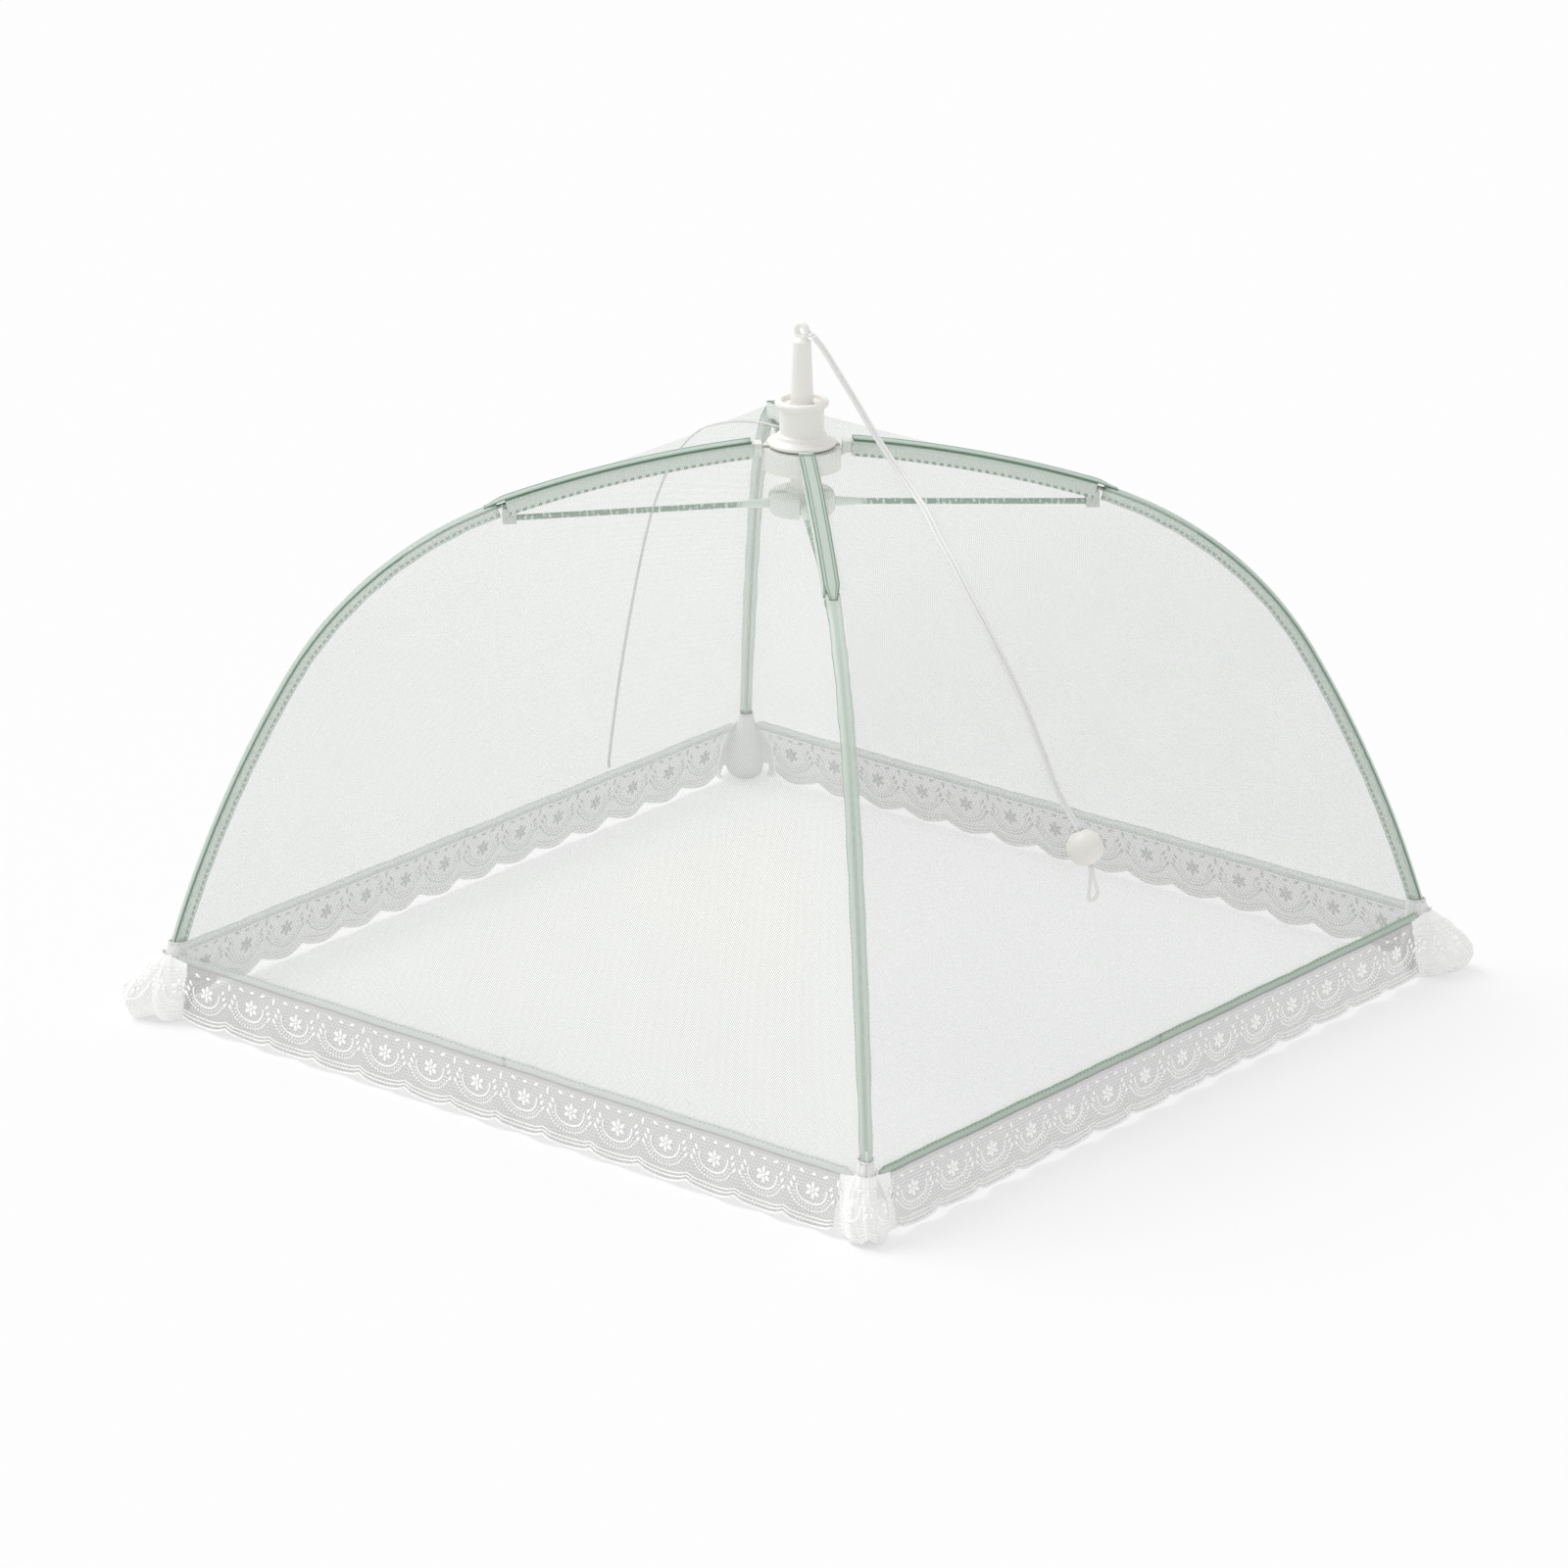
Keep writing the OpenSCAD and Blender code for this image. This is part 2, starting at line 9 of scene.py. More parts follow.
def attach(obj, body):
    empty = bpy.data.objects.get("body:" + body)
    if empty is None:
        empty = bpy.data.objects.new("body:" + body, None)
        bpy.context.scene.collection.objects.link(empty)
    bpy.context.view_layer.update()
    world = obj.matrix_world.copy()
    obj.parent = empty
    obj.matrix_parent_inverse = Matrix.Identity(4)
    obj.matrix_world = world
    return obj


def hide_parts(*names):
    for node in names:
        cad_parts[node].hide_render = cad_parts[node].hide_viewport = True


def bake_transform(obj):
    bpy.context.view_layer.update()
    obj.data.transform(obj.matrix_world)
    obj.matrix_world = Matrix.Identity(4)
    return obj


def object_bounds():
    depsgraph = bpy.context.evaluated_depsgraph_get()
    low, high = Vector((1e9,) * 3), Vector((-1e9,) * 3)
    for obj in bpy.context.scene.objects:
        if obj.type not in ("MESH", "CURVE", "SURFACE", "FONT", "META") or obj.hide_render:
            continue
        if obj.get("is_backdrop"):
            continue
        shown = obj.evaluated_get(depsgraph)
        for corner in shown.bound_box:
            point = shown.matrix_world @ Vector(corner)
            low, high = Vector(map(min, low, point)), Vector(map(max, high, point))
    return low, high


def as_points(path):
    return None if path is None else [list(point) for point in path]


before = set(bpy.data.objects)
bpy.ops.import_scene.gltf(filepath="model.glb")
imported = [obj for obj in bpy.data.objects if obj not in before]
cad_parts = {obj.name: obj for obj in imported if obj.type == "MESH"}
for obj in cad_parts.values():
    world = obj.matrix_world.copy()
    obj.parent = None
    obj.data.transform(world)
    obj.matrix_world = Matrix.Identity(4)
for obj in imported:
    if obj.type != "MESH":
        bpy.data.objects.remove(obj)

bl_info = {
    "name": "Pop-up Mesh Cover",
    "version": (1, 0, 0),
    "blender": (4, 5, 0),
    "location": "View3D > Sidebar > Cover",
    "description": "Dresses the frame of a square mesh cover in netting, lace, cloth and moulded plastic",
    "category": "Object",
}

MM = 0.001
CAD_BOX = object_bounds()
CORNERS = ("front", "right", "back", "left")
SIDES = ("front_right", "back_right", "back_left", "front_left")

# ---- the rib's curve in its own plane, in millimetres: three arcs from the crown to the hem ----
DIP = [radians(a) for a in (5.5, 18, 60, 73)]
ARC_START = np.array([16.0, 259.0])
HEM_SIDE = 404.0
TIP_SETBACK = 4.4       # the rib's tip, inward from the hem's corner
TIP = np.array([HEM_SIDE / sqrt(2) - TIP_SETBACK, 35.0])
JOINT_REACH = 131.0     # where the upper arc ends
UPPER_RUN = JOINT_REACH - ARC_START[0]
FACE_OUT = 2.4          # the netting's middle, outward from that curve
FACE_WIDEN = 2.9        # sets the netting beside the sleeves
SLIT = 5.2              # how far the netting stops short of the upper rib, along a side
SLEEVE_SLIT = 4.4       # the same beside the lower rib's sleeve
SLEEVE_FROM = 128.0     # how far down the netting the sleeve begins
NET_SAG = 2.2           # how far a panel hangs inward at its middle
HEM_X = 202.8
HEM_Z = 28.0
HEM_THICK = 0.78        # half the tape's thickness
HEM_TALL = 2.3          # half the tape's height
HEM_GAP = 5.6           # how far the tape stops from the rib's middle
LACE_TOP = 27.0
LACE_X = 204.0
LACE_END = 189.0
POCKET_REACH = 283.8


def outward(angle):
    return np.array([sin(angle), cos(angle)])


def rib_arcs():
    """Radius and centre of each of the rib's three arcs."""
    upper = UPPER_RUN / (sin(DIP[1]) - sin(DIP[0]))
    fall = TIP * (-1, 1) - ARC_START * (-1, 1)
    drop = -fall[1] - upper * (cos(DIP[0]) - cos(DIP[1]))
    run = TIP[0] - ARC_START[0] - UPPER_RUN
    rows = np.array([[sin(DIP[i + 1]) - sin(DIP[i]), cos(DIP[i]) - cos(DIP[i + 1])]
                     for i in (1, 2)]).T
    shoulder, skirt = np.linalg.solve(rows, [run, drop])
    radii = [upper, shoulder, skirt]
    centres = [ARC_START - upper * outward(DIP[0])]
    for i in (1, 2):
        centres.append(centres[-1] + (radii[i - 1] - radii[i]) * outward(DIP[i]))
    return radii, centres


RADII, CENTRES = rib_arcs()


def rib_point(arc, angle, off=0.0):
    return CENTRES[arc] + (RADII[arc] + off) * outward(angle)


def stations(arc, first, last, steps, skip=0):
    """Places along one arc of the rib, as (arc, angle), angles in radians."""
    return [(arc, first + (last - first) * i / steps) for i in range(skip, steps + 1)]


def on_rib(corner, reach, across, height):
    """A point from a rib's own plane, in metres in the shared frame."""
    turn = radians(-45 + 90 * corner)
    return Vector((reach * cos(turn) - across * sin(turn),
                   reach * sin(turn) + across * cos(turn), height)) * MM


def on_side(side, x, y, z):
    """A point from the side that faces +X, moved to another side, in metres."""
    turn = radians(90 * side)
    return Vector((x * cos(turn) - y * sin(turn), x * sin(turn) + y * cos(turn), z)) * MM


def smooth(t):
    t = min(max(t, 0.0), 1.0)
    return t * t * (3 - 2 * t)


def toned(colour, share):
    return tuple(c * share for c in colour)


def half_name(side, half):
    return f"{SIDES[side]}_{'b' if half > 0 else 'a'}"


# ================= settings =================

class CoverSettings(bpy.types.PropertyGroup):
    net_pitch: bpy.props.FloatProperty(
        name="Net pitch", description="Width of one opening of the netting",
        default=0.0013, min=0.0005, unit="LENGTH")
    net_thread: bpy.props.FloatProperty(
        name="Net thread", description="Share of light a thread stops",
        default=0.50, min=0.05, max=1.0, subtype="FACTOR")
    net_open: bpy.props.FloatProperty(
        name="Net haze", description="Share of light an opening stops",
        default=0.16, min=0.0, max=1.0, subtype="FACTOR")
    lace_repeats: bpy.props.IntProperty(
        name="Scallops", description="Scallops on half a side of lace",
        default=7, min=3, max=14)
    lace_ripple: bpy.props.FloatProperty(
        name="Lace ripple", description="How far the lace waves in and out",
        default=0.0011, min=0.0, unit="LENGTH")
    puff_radius: bpy.props.FloatProperty(
        name="Corner puff", description="Radius of a gathered lace corner",
        default=0.0225, min=0.015, unit="LENGTH")
    puff_folds: bpy.props.IntProperty(
        name="Corner folds", description="Folds in a gathered corner of lace",
        default=7, min=5, max=15)
    ivory: bpy.props.FloatVectorProperty(
        name="Ivory plastic", description="Crown, plunger and rib ends",
        default=(0.945, 0.935, 0.900), size=3, subtype="COLOR")
    mint: bpy.props.FloatVectorProperty(
        name="Mint", description="Ribs, sleeves and stretchers",
        default=(0.800, 0.900, 0.825), size=3, subtype="COLOR")
    deep_green: bpy.props.FloatVectorProperty(
        name="Deep green", description="Edges, stitches and flecks",
        default=(0.110, 0.235, 0.140), size=3, subtype="COLOR")
    sage: bpy.props.FloatVectorProperty(
        name="Sage", description="Hem tape and lower rib wires",
        default=(0.610, 0.725, 0.625), size=3, subtype="COLOR")
    white: bpy.props.FloatVectorProperty(
        name="White thread", description="Netting, lace, pockets and cord",
        default=(0.940, 0.940, 0.930), size=3, subtype="COLOR")
    sky_level: bpy.props.FloatProperty(
        name="Sky level", description="Strength of the even light all round",
        default=0.68, min=0.0)
    lamp_level: bpy.props.FloatProperty(
        name="Lamp level", description="Strength of the large soft lamp",
        default=1.40, min=0.0)


def settings():
    return bpy.context.scene.cover_settings


# ================= materials =================

class Value:
    """One number in a material. Sums of these add the Math nodes that they need."""

    def __init__(self, finish, socket):
        self.finish = finish
        self.socket = socket

    def calc(self, operation, *others, clamp=False):
        picked = {"operation": operation, "use_clamp": clamp}
        return self.finish.node("ShaderNodeMath", picked, dict(enumerate((self,) + others)))

    def clamped(self):
        return self.calc("ADD", 0.0, clamp=True)

    def __add__(self, other):
        return self.calc("ADD", other)

    def __sub__(self, other):
        return self.calc("SUBTRACT", other)

    def __mul__(self, other):
        return self.calc("MULTIPLY", other)

    def __truediv__(self, other):
        return self.calc("DIVIDE", other)

    def __rsub__(self, other):
        return self.calc("MULTIPLY", -1.0) + other

    __radd__ = __add__
    __rmul__ = __mul__


class Nodes:
    """The nodes of a material, or of the surroundings."""

    def __init__(self, owner):
        owner.use_nodes = True
        self.tree = owner.node_tree
        self.tree.nodes.clear()

    def node(self, kind, picked, inputs, output=0):
        made = self.tree.nodes.new(kind)
        for name, value in picked.items():
            setattr(made, name, value)
        for key, value in inputs.items():
            if isinstance(value, Value):
                self.tree.links.new(value.socket, made.inputs[key])
            else:
                made.inputs[key].default_value = value
        return Value(self, made.outputs[output]) if made.outputs else None

    def seen(self):
        """1 where the camera looks straight, through a mirror or through glass."""
        rays = [self.node("ShaderNodeLightPath", {}, {}, f"Is {kind} Ray")
                for kind in ("Camera", "Glossy", "Transmission")]
        return (rays[0] + rays[1]).calc("ADD", rays[2], clamp=True)


class Finish(Nodes):
    """A material under construction, round one Principled shader."""

    def __init__(self, name, **plain):
        self.material = bpy.data.materials.new(name)
        super().__init__(self.material)
        inputs = {socket.replace("_", " "): value for socket, value in plain.items()}
        surface = self.node("ShaderNodeBsdfPrincipled", {}, inputs)
        self.shader = surface.socket.node
        self.node("ShaderNodeOutputMaterial", {}, {"Surface": surface})

    def feed(self, name, value):
        self.tree.links.new(value.socket, self.shader.inputs[name])

    def mix(self, share, first, second):
        """A colour between two colours."""
        inputs = {0: share, 6: first, 7: second}
        for key in (6, 7):
            if not isinstance(inputs[key], Value) and len(inputs[key]) == 3:
                inputs[key] = (*inputs[key], 1.0)
        return self.node("ShaderNodeMix", {"data_type": "RGBA"}, inputs, 2)

    def spot(self):
        """A point, in metres, in the shared frame."""
        return self.node("ShaderNodeTexCoord", {}, {}, "Object")

    def places(self):
        """The x, y and z of a point, and the point itself."""
        where = self.spot()
        return [self.node("ShaderNodeSeparateXYZ", {}, {0: where}, i) for i in range(3)], where

    def cloth(self):
        """How far along and across its own surface a point lies, in metres, and the point itself."""
        where = self.node("ShaderNodeUVMap", {"uv_map": "cloth"}, {})
        return [self.node("ShaderNodeSeparateXYZ", {}, {0: where}, i) for i in range(2)], where

    def noise(self, where, scale, detail=3.0, rough=0.55):
        return self.node("ShaderNodeTexNoise", {}, {"Vector": where, "Scale": scale, "Detail": detail,
                                                    "Roughness": rough})

    def bump(self, height, depth):
        normal = self.node("ShaderNodeBump", {}, {"Height": height, "Distance": depth, "Strength": 1.0}, 0)
        self.feed("Normal", normal)


def band(value, middle, half, edge):
    """1 within half of middle, falling to 0 over edge."""
    return ((value - middle).calc("ABSOLUTE") * -1.0 + (half + edge)).calc("DIVIDE", edge, clamp=True)


def wave(value, pitch):
    """0 to 1 and back along a value, once in each pitch."""
    return (value / pitch).calc("PINGPONG", 0.5) * 2.0


def dashes(value, pitch, share):
    """1 for a share of each pitch along a value."""
    return ((value / pitch).calc("FRACT") * -1.0 + share).calc("MULTIPLY", 12.0, clamp=True)


def moulded(name, colour, grain=0.5, rough=0.34, **plain):
    """Moulded plastic: faint cloudy tone, fine grain and slightly dulled high spots."""
    f = Finish(name, Roughness=rough, IOR=1.49, **plain)
    where = f.spot()
    cloud = f.noise(where, 90.0, 4.0)
    fine = f.noise(where, 900.0, 2.0)
    f.feed("Base Color", f.mix(cloud.calc("MULTIPLY", 0.8, clamp=True), colour, toned(colour, 0.95)))
    f.feed("Roughness", cloud * 0.16 + (rough - 0.06))
    f.bump(fine * 0.7 + cloud, 0.00006 * grain)
    return f.material


def rib_plastic(name, colour, edge):
    """Clear mint plastic, with painted deep green shade along its top edge and a dotted line below."""
    f = Finish(name, Roughness=0.22, IOR=1.46, Transmission_Weight=0.18, Subsurface_Weight=0.15,
               Subsurface_Radius=(0.002, 0.003, 0.002))
    (x, y, z), where = f.places()
    reach = (x * x + y * y).calc("SQRT")
    run = reach - CENTRES[0][0] * MM
    rise = z - CENTRES[0][1] * MM
    off = (run * run + rise * rise).calc("SQRT") - RADII[0] * MM
    # painted shade: a deep green band along the rib's top edge stands in for the dark edge the clear plastic
    # shows
    top_edge_shade = band(off, 0.0037, 0.0005, 0.0003)
    dots = band(off, -0.0030, 0.0006, 0.0003) * dashes(reach, 0.0034, 0.55)
    cloud = f.noise(where, 160.0, 4.0)
    streak = f.noise(where, 520.0, 2.0)
    base = f.mix(cloud.calc("MULTIPLY", 0.7, clamp=True), colour, toned(colour, 0.92))
    f.feed("Base Color", f.mix((top_edge_shade * 0.75).calc("MAXIMUM", dots * 0.9), base, edge))
    f.feed("Roughness", streak * 0.2 + 0.14)
    f.bump(streak + cloud * 0.5, 0.00008)
    return f.material


def speckled(name, colour, speck, scale, share):
    """Thin coated rod with dark flecks in its coating, plain close to the plunger."""
    f = Finish(name, Roughness=0.4, IOR=1.47)
    (x, y, _), where = f.places()
    reach = (x * x + y * y).calc("SQRT")
    far = (reach - 0.026).calc("MULTIPLY", 250.0, clamp=True)
    grain = f.noise(where, scale, 2.0)
    fleck = (grain - (1.0 - share)).calc("MULTIPLY", 14.0, clamp=True)
    fleck = fleck.calc("MAXIMUM", dashes(reach + grain * 0.002, 0.0027, 0.6)) * far
    cloud = f.noise(where, 110.0, 3.0)
    base = f.mix(cloud.calc("MULTIPLY", 0.6, clamp=True), colour, toned(colour, 0.85))
    f.feed("Base Color", f.mix(fleck * 0.92, base, speck))
    f.feed("Roughness", fleck * 0.25 + 0.3)
    f.bump(fleck * -1.0 + cloud * 0.4, 0.00007)
    return f.material


def polished_pin(name):
    """Plated steel with fine turning marks."""
    f = Finish(name, Metallic=1.0, Roughness=0.3)
    where = f.spot()
    marks = f.noise(where, 1400.0, 2.0)
    tone = f.noise(where, 200.0, 3.0)
    f.feed("Base Color", f.mix(tone, (0.62, 0.64, 0.60), (0.48, 0.52, 0.47)))
    f.feed("Roughness", marks * 0.3 + 0.2)
    f.bump(marks, 0.00003)
    return f.material


def netting(name, colour, pitch, thread, haze):
    """Fine knitted net: slanting threads, open between, with a slightly uneven weave."""
    f = Finish(name, Roughness=0.75, Sheen_Weight=0.15)
    (u, v), where = f.cloth()
    drift = f.noise(where, 60.0, 3.0) * (pitch * 0.6)
    rising = wave(u + v + drift, pitch).calc("POWER", 3.0)
    falling = wave(u - v + drift, pitch).calc("POWER", 3.0)
    lines = rising.calc("MAXIMUM", falling)
    patch = f.noise(where, 24.0, 3.0)
    f.feed("Base Color", f.mix(patch, colour, toned(colour, 0.94)))
    f.feed("Alpha", lines * (thread - haze) + haze + (patch - 0.5) * 0.06)
    f.bump(lines, 0.00012)
    return f.material


def lace_ground(name, colour, dense, tone, glow=0.0):
    """The lace's net: small round openings with thread between them. Tone below 1 greys the white thread as
    painted shade; glow adds painted light.
    """
    # painted light: glow is an even emission, though the lace is no lamp
    f = Finish(name, Roughness=0.7, Sheen_Weight=0.2, Emission_Color=(1, 1, 1, 1), Emission_Strength=glow)
    (u, v), where = f.cloth()
    pitch = 0.0017
    row_pitch = pitch * 0.87
    row = (v / row_pitch).calc("FLOOR")
    shift = row.calc("MODULO", 2.0) * (pitch * 0.5)
    du = ((u + shift) / pitch).calc("FRACT") - 0.5
    dv = (v / row_pitch).calc("FRACT") - 0.5
    far = (du * du + dv * dv).calc("SQRT")
    hole = ((far * -1.0 + 0.40) * 9.0).clamped()
    top = band(v, LACE_TOP * MM, 0.0016, 0.0006)
    solid = (1.0 - hole).calc("MAXIMUM", top)
    patch = f.noise(where, 150.0, 3.0)
    # painted shade: the thread's white is greyed by tone
    base = toned(colour, tone)
    f.feed("Base Color", f.mix(patch, base, toned(base, 0.92)))
    f.feed("Alpha", (solid * (0.44 - dense * 0.4) + dense).clamped())
    f.bump(solid + patch * 0.3, 0.00006)
    return f.material


def thread(name, colour, pitch, slant=1.0, glow=0.0):
    """Twisted thread: slanting plies wound along it. Glow is painted light, an even emission though the thread
    is no lamp.
    """
    f = Finish(name, Roughness=0.62, Sheen_Weight=0.25, Emission_Color=(1, 1, 1, 1), Emission_Strength=glow)
    (u, v), where = f.cloth()
    ply = wave(u + v * slant, pitch)
    fuzz = f.noise(where, 900.0, 3.0)
    f.feed("Base Color", f.mix(ply, toned(colour, 0.94), colour))
    f.feed("Roughness", fuzz * 0.3 + 0.5)
    f.bump(ply + fuzz * 0.4, 0.00004)
    return f.material


def sleeve_cloth(name, colour, edge):
    """Thin, partly see-through sleeve: deep green pressed folds, painted deep green shade along the edges that
    turn from the camera, and a stitched seam inside.
    """
    f = Finish(name, Roughness=0.5, Sheen_Weight=0.1)
    (u, v), where = f.cloth()
    # painted shade: the Facing weight darkens the colour towards deep green where the sleeve turns away from
    # the camera, standing in for the dark edges of clear cloth
    rim = f.node("ShaderNodeLayerWeight", {}, {"Blend": 0.5}, "Facing")
    grazing_edge_shade = (rim - 0.76).calc("MULTIPLY", 7.0, clamp=True)
    pressed = band(v, 0.0016, 0.0003, 0.0003).calc("MAXIMUM", band(v, 0.0041, 0.0005, 0.0004))
    folds_and_edge_shade = grazing_edge_shade.calc("MAXIMUM", pressed)
    seam_row = band(v, -0.0027, 0.00035, 0.0003)
    stitch = seam_row * dashes(u, 0.0031, 0.62)
    hem_edge = band(v, -0.0041, 0.00025, 0.0003)
    weave = wave(u, 0.0006).calc("MAXIMUM", wave(v, 0.0006))
    patch = f.noise(where, 120.0, 4.0)
    base = f.mix(patch.calc("MULTIPLY", 0.8, clamp=True), colour, toned(colour, 0.90))
    marked = f.mix(folds_and_edge_shade * 0.85, base, edge)
    marked = f.mix(stitch * 0.72, marked, edge)
    f.feed("Base Color", f.mix(hem_edge * 0.35, marked, edge))
    f.feed("Alpha", (patch * 0.12 + 0.64 + folds_and_edge_shade * 0.30 + stitch * 0.4).clamped())
    f.feed("Roughness", patch * 0.2 + 0.4)
    f.bump(weave * 0.5 + stitch * 1.5 + patch * 0.4, 0.00018)
    return f.material


def tape_cloth(name, colour, edge, cover):
    """Folded hem tape with a fine rib weave and a row of stitches near each edge."""
    f = Finish(name, Roughness=0.55, Sheen_Weight=0.25)
    (u, v), where = f.cloth()
    rows = band(v.calc("ABSOLUTE"), 0.0017, 0.0002, 0.0002)
    stitch = rows * dashes(u, 0.0027, 0.6)
    selvedge = band(v.calc("ABSOLUTE"), 0.0023, 0.0002, 0.0003)
    weave = wave(u, 0.0007)
    patch = f.noise(where, 70.0, 4.0)
    base = f.mix(patch, colour, toned(colour, 0.88))
    base = f.mix(selvedge * 0.45, base, edge)
    f.feed("Base Color", f.mix(stitch * 0.35, base, edge))
    f.feed("Alpha", (patch * 0.1 + cover + selvedge * 0.3).clamped())
    f.bump(weave * 0.6 + stitch * -1.0, 0.00016)
    return f.material


def plain_cloth(name, colour, weave_pitch):
    """Close white woven cloth with soft creases."""
    f = Finish(name, Roughness=0.72, Sheen_Weight=0.2)
    (u, v), where = f.cloth()
    weave = wave(u, weave_pitch).calc("MULTIPLY", wave(v, weave_pitch))
    crease = f.noise(where, 140.0, 4.0)
    f.feed("Base Color", f.mix(crease, colour, toned(colour, 0.90)))
    f.feed("Roughness", crease * 0.2 + 0.6)
    f.bump(weave * 0.35 + crease * 2.2, 0.00026)
    return f.material


FINISHES = {}


def finish(name):
    return FINISHES[name]


# ================= meshes =================

def piece(name, points, faces, along, material):
    """A smooth mesh with its own surface coordinates; points in metres, along is (u, v) of each point."""
    mesh = bpy.data.meshes.new(name)
    mesh.from_pydata([tuple(p) for p in points], [], faces)
    mesh.update()
    layer = mesh.uv_layers.new(name="cloth")
    flat = np.array(along, dtype=np.float32)
    picked = np.empty(len(mesh.loops), dtype=np.int32)
    mesh.loops.foreach_get("vertex_index", picked)
    layer.data.foreach_set("uv", flat[picked].ravel())
    mesh.polygons.foreach_set("use_smooth", [True] * len(mesh.polygons))
    obj = bpy.data.objects.new(name, mesh)
    bpy.context.scene.collection.objects.link(obj)
    mesh.materials.append(finish(material))
    return obj


class Patch:
    """Collects points, surface coordinates and faces of a mesh made of several parts."""

    def __init__(self):
        self.points = []
        self.along = []
        self.faces = []

    def grid(self, rows, around=False, turned=False):
        """rows of (point, (u, v)); around closes each row on itself."""
        first = len(self.points)
        width = len(rows[0])
        for row in rows:
            for point, uv in row:
                self.points.append(point)
                self.along.append(uv)
        for i in range(len(rows) - 1):
            for j in range(width if around else width - 1):
                a = first + i * width + j
                b = first + i * width + (j + 1) % width
                quad = [a, b, b + width, a + width]
                self.faces.append(quad[::-1] if turned else quad)
        return first

    def cap(self, first, width, turned=False):
        ring = list(range(first, first + width))
        self.faces.append(ring[::-1] if turned else ring)

    def closed(self, rings, turned=False):
        """A body swept through rings of (point, (u, v)), capped at both ends."""
        sides = len(rings[0])
        first = self.grid(rings, around=True, turned=turned)
        self.cap(first, sides, turned=not turned)
        self.cap(first + (len(rings) - 1) * sides, sides, turned=turned)

    def tube(self, path, radius, sides=6, start=0.0):
        """A round thread along points in metres."""
        count = len(path)
        rows = []
        side = None
        length = start
        for i in range(count):
            tangent = (path[min(i + 1, count - 1)] - path[max(i - 1, 0)]).normalized()
            if side is None:
                side = tangent.cross(Vector((0.31, 0.72, 0.62))).normalized()
            side = (side - tangent * side.dot(tangent)).normalized()
            other = tangent.cross(side)
            if i:
                length += (path[i] - path[i - 1]).length
            ring = []
            for j in range(sides):
                turn = 2 * pi * j / sides
                ring.append((path[i] + (side * cos(turn) + other * sin(turn)) * radius,
                             (radius * turn, length)))
            rows.append(ring)
        self.closed(rows)

    def dome(self, place, u, v, half_u, half_v, turn, height, sides=8):
        """A raised stitch on a surface; place(u, v, out) gives a point of that surface, in metres."""
        c, s = cos(turn), sin(turn)
        first = len(self.points)
        for share, out in ((1.0, 0.05), (0.62, 0.8)):
            for j in range(sides):
                a = 2 * pi * j / sides
                du = half_u * share * cos(a)
                dv = half_v * share * sin(a)
                self.points.append(place(u + du * c - dv * s, v + du * s + dv * c, out * height))
                self.along.append((du * MM, dv * MM))
        self.points.append(place(u, v, height))
        self.along.append((0.0, 0.0))
        for j in range(sides):
            k = (j + 1) % sides
            self.faces.append([first + j, first + k, first + sides + k, first + sides + j])
            self.faces.append([first + sides + j, first + sides + k, first + 2 * sides])
        self.faces.append([first + j for j in range(sides - 1, -1, -1)])

    def make(self, name, material):
        return piece(name, self.points, self.faces, self.along, material)


def join_share(x, y):
    """How far a point stays with the crown: 1 at a side's middle and under the crown, 0 at a rib."""
    across = abs(y) / max(abs(x) - SLIT, 1.0)
    stay = 1.0 - smooth((across - 0.30) / 0.70)
    return max(stay, 1.0 - smooth((abs(x) - 17.0) / 12.0))


def follow(obj, side, half):
    """Bakes a side's half's placement into its points; it is not bent between its rib and the crown."""
    on_side(side, 202, 190 * half, 28)
    on_side(side, 202, 0, 28)
    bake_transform(obj)
    turn = Matrix.Rotation(radians(-90 * side), 3, "Z")
    for vertex in obj.data.vertices:
        here = (turn @ vertex.co) / MM
        join_share(here.x, here.y)


# ================= netting =================

def face_profile():
    """x and z of the netting's middle line, from under the crown's flange to behind the hem tape."""
    run = [np.array([x, 259.6]) for x in (9.6, 12.0, 14.4, 16.8)]
    for arc, steps in enumerate((12, 26, 8)):
        for station in stations(arc, DIP[arc], DIP[arc + 1], steps, 1):
            here = rib_point(*station, FACE_OUT)
            run.append(np.array([(here[0] + FACE_WIDEN) / sqrt(2), here[1]]))
    run += [np.array([202.0, 32.6]), np.array([201.6, 30.0]), np.array([201.5, 26.6])]
    return run


def add_netting(side, half, columns=22):
    """Half a net panel, from the side's middle to a rib."""
    profile = face_profile()
    patch = Patch()
    rows = []
    down = 0.0
    total = sum(np.linalg.norm(profile[i + 1] - profile[i]) for i in range(len(profile) - 1))
    for i, (x, z) in enumerate(profile):
        if i:
            down += np.linalg.norm(profile[i] - profile[i - 1])
        reach = x - (SLIT + (SLEEVE_SLIT - SLIT) * smooth((down - SLEEVE_FROM) / 8))
        sag = 0.0 if side == 0 else NET_SAG * sin(pi * min(down / total, 1.0)) ** 2
        row = []
        for j in range(columns + 1):
            share = j / columns
            y = half * reach * share
            tuck = 1.1 if j == columns and down > SLEEVE_FROM + 2 else 0.0
            pulled = sag * (1 - share * share) + tuck
            row.append((on_side(side, x - pulled, y, z - pulled * 0.6), (y * MM, down * MM)))
        rows.append(row)
    patch.grid(rows, turned=half > 0)
    obj = patch.make(f"netting_{half_name(side, half)}", "netting")
    follow(obj, side, half)
    return obj


# ================= hem tape and lace =================

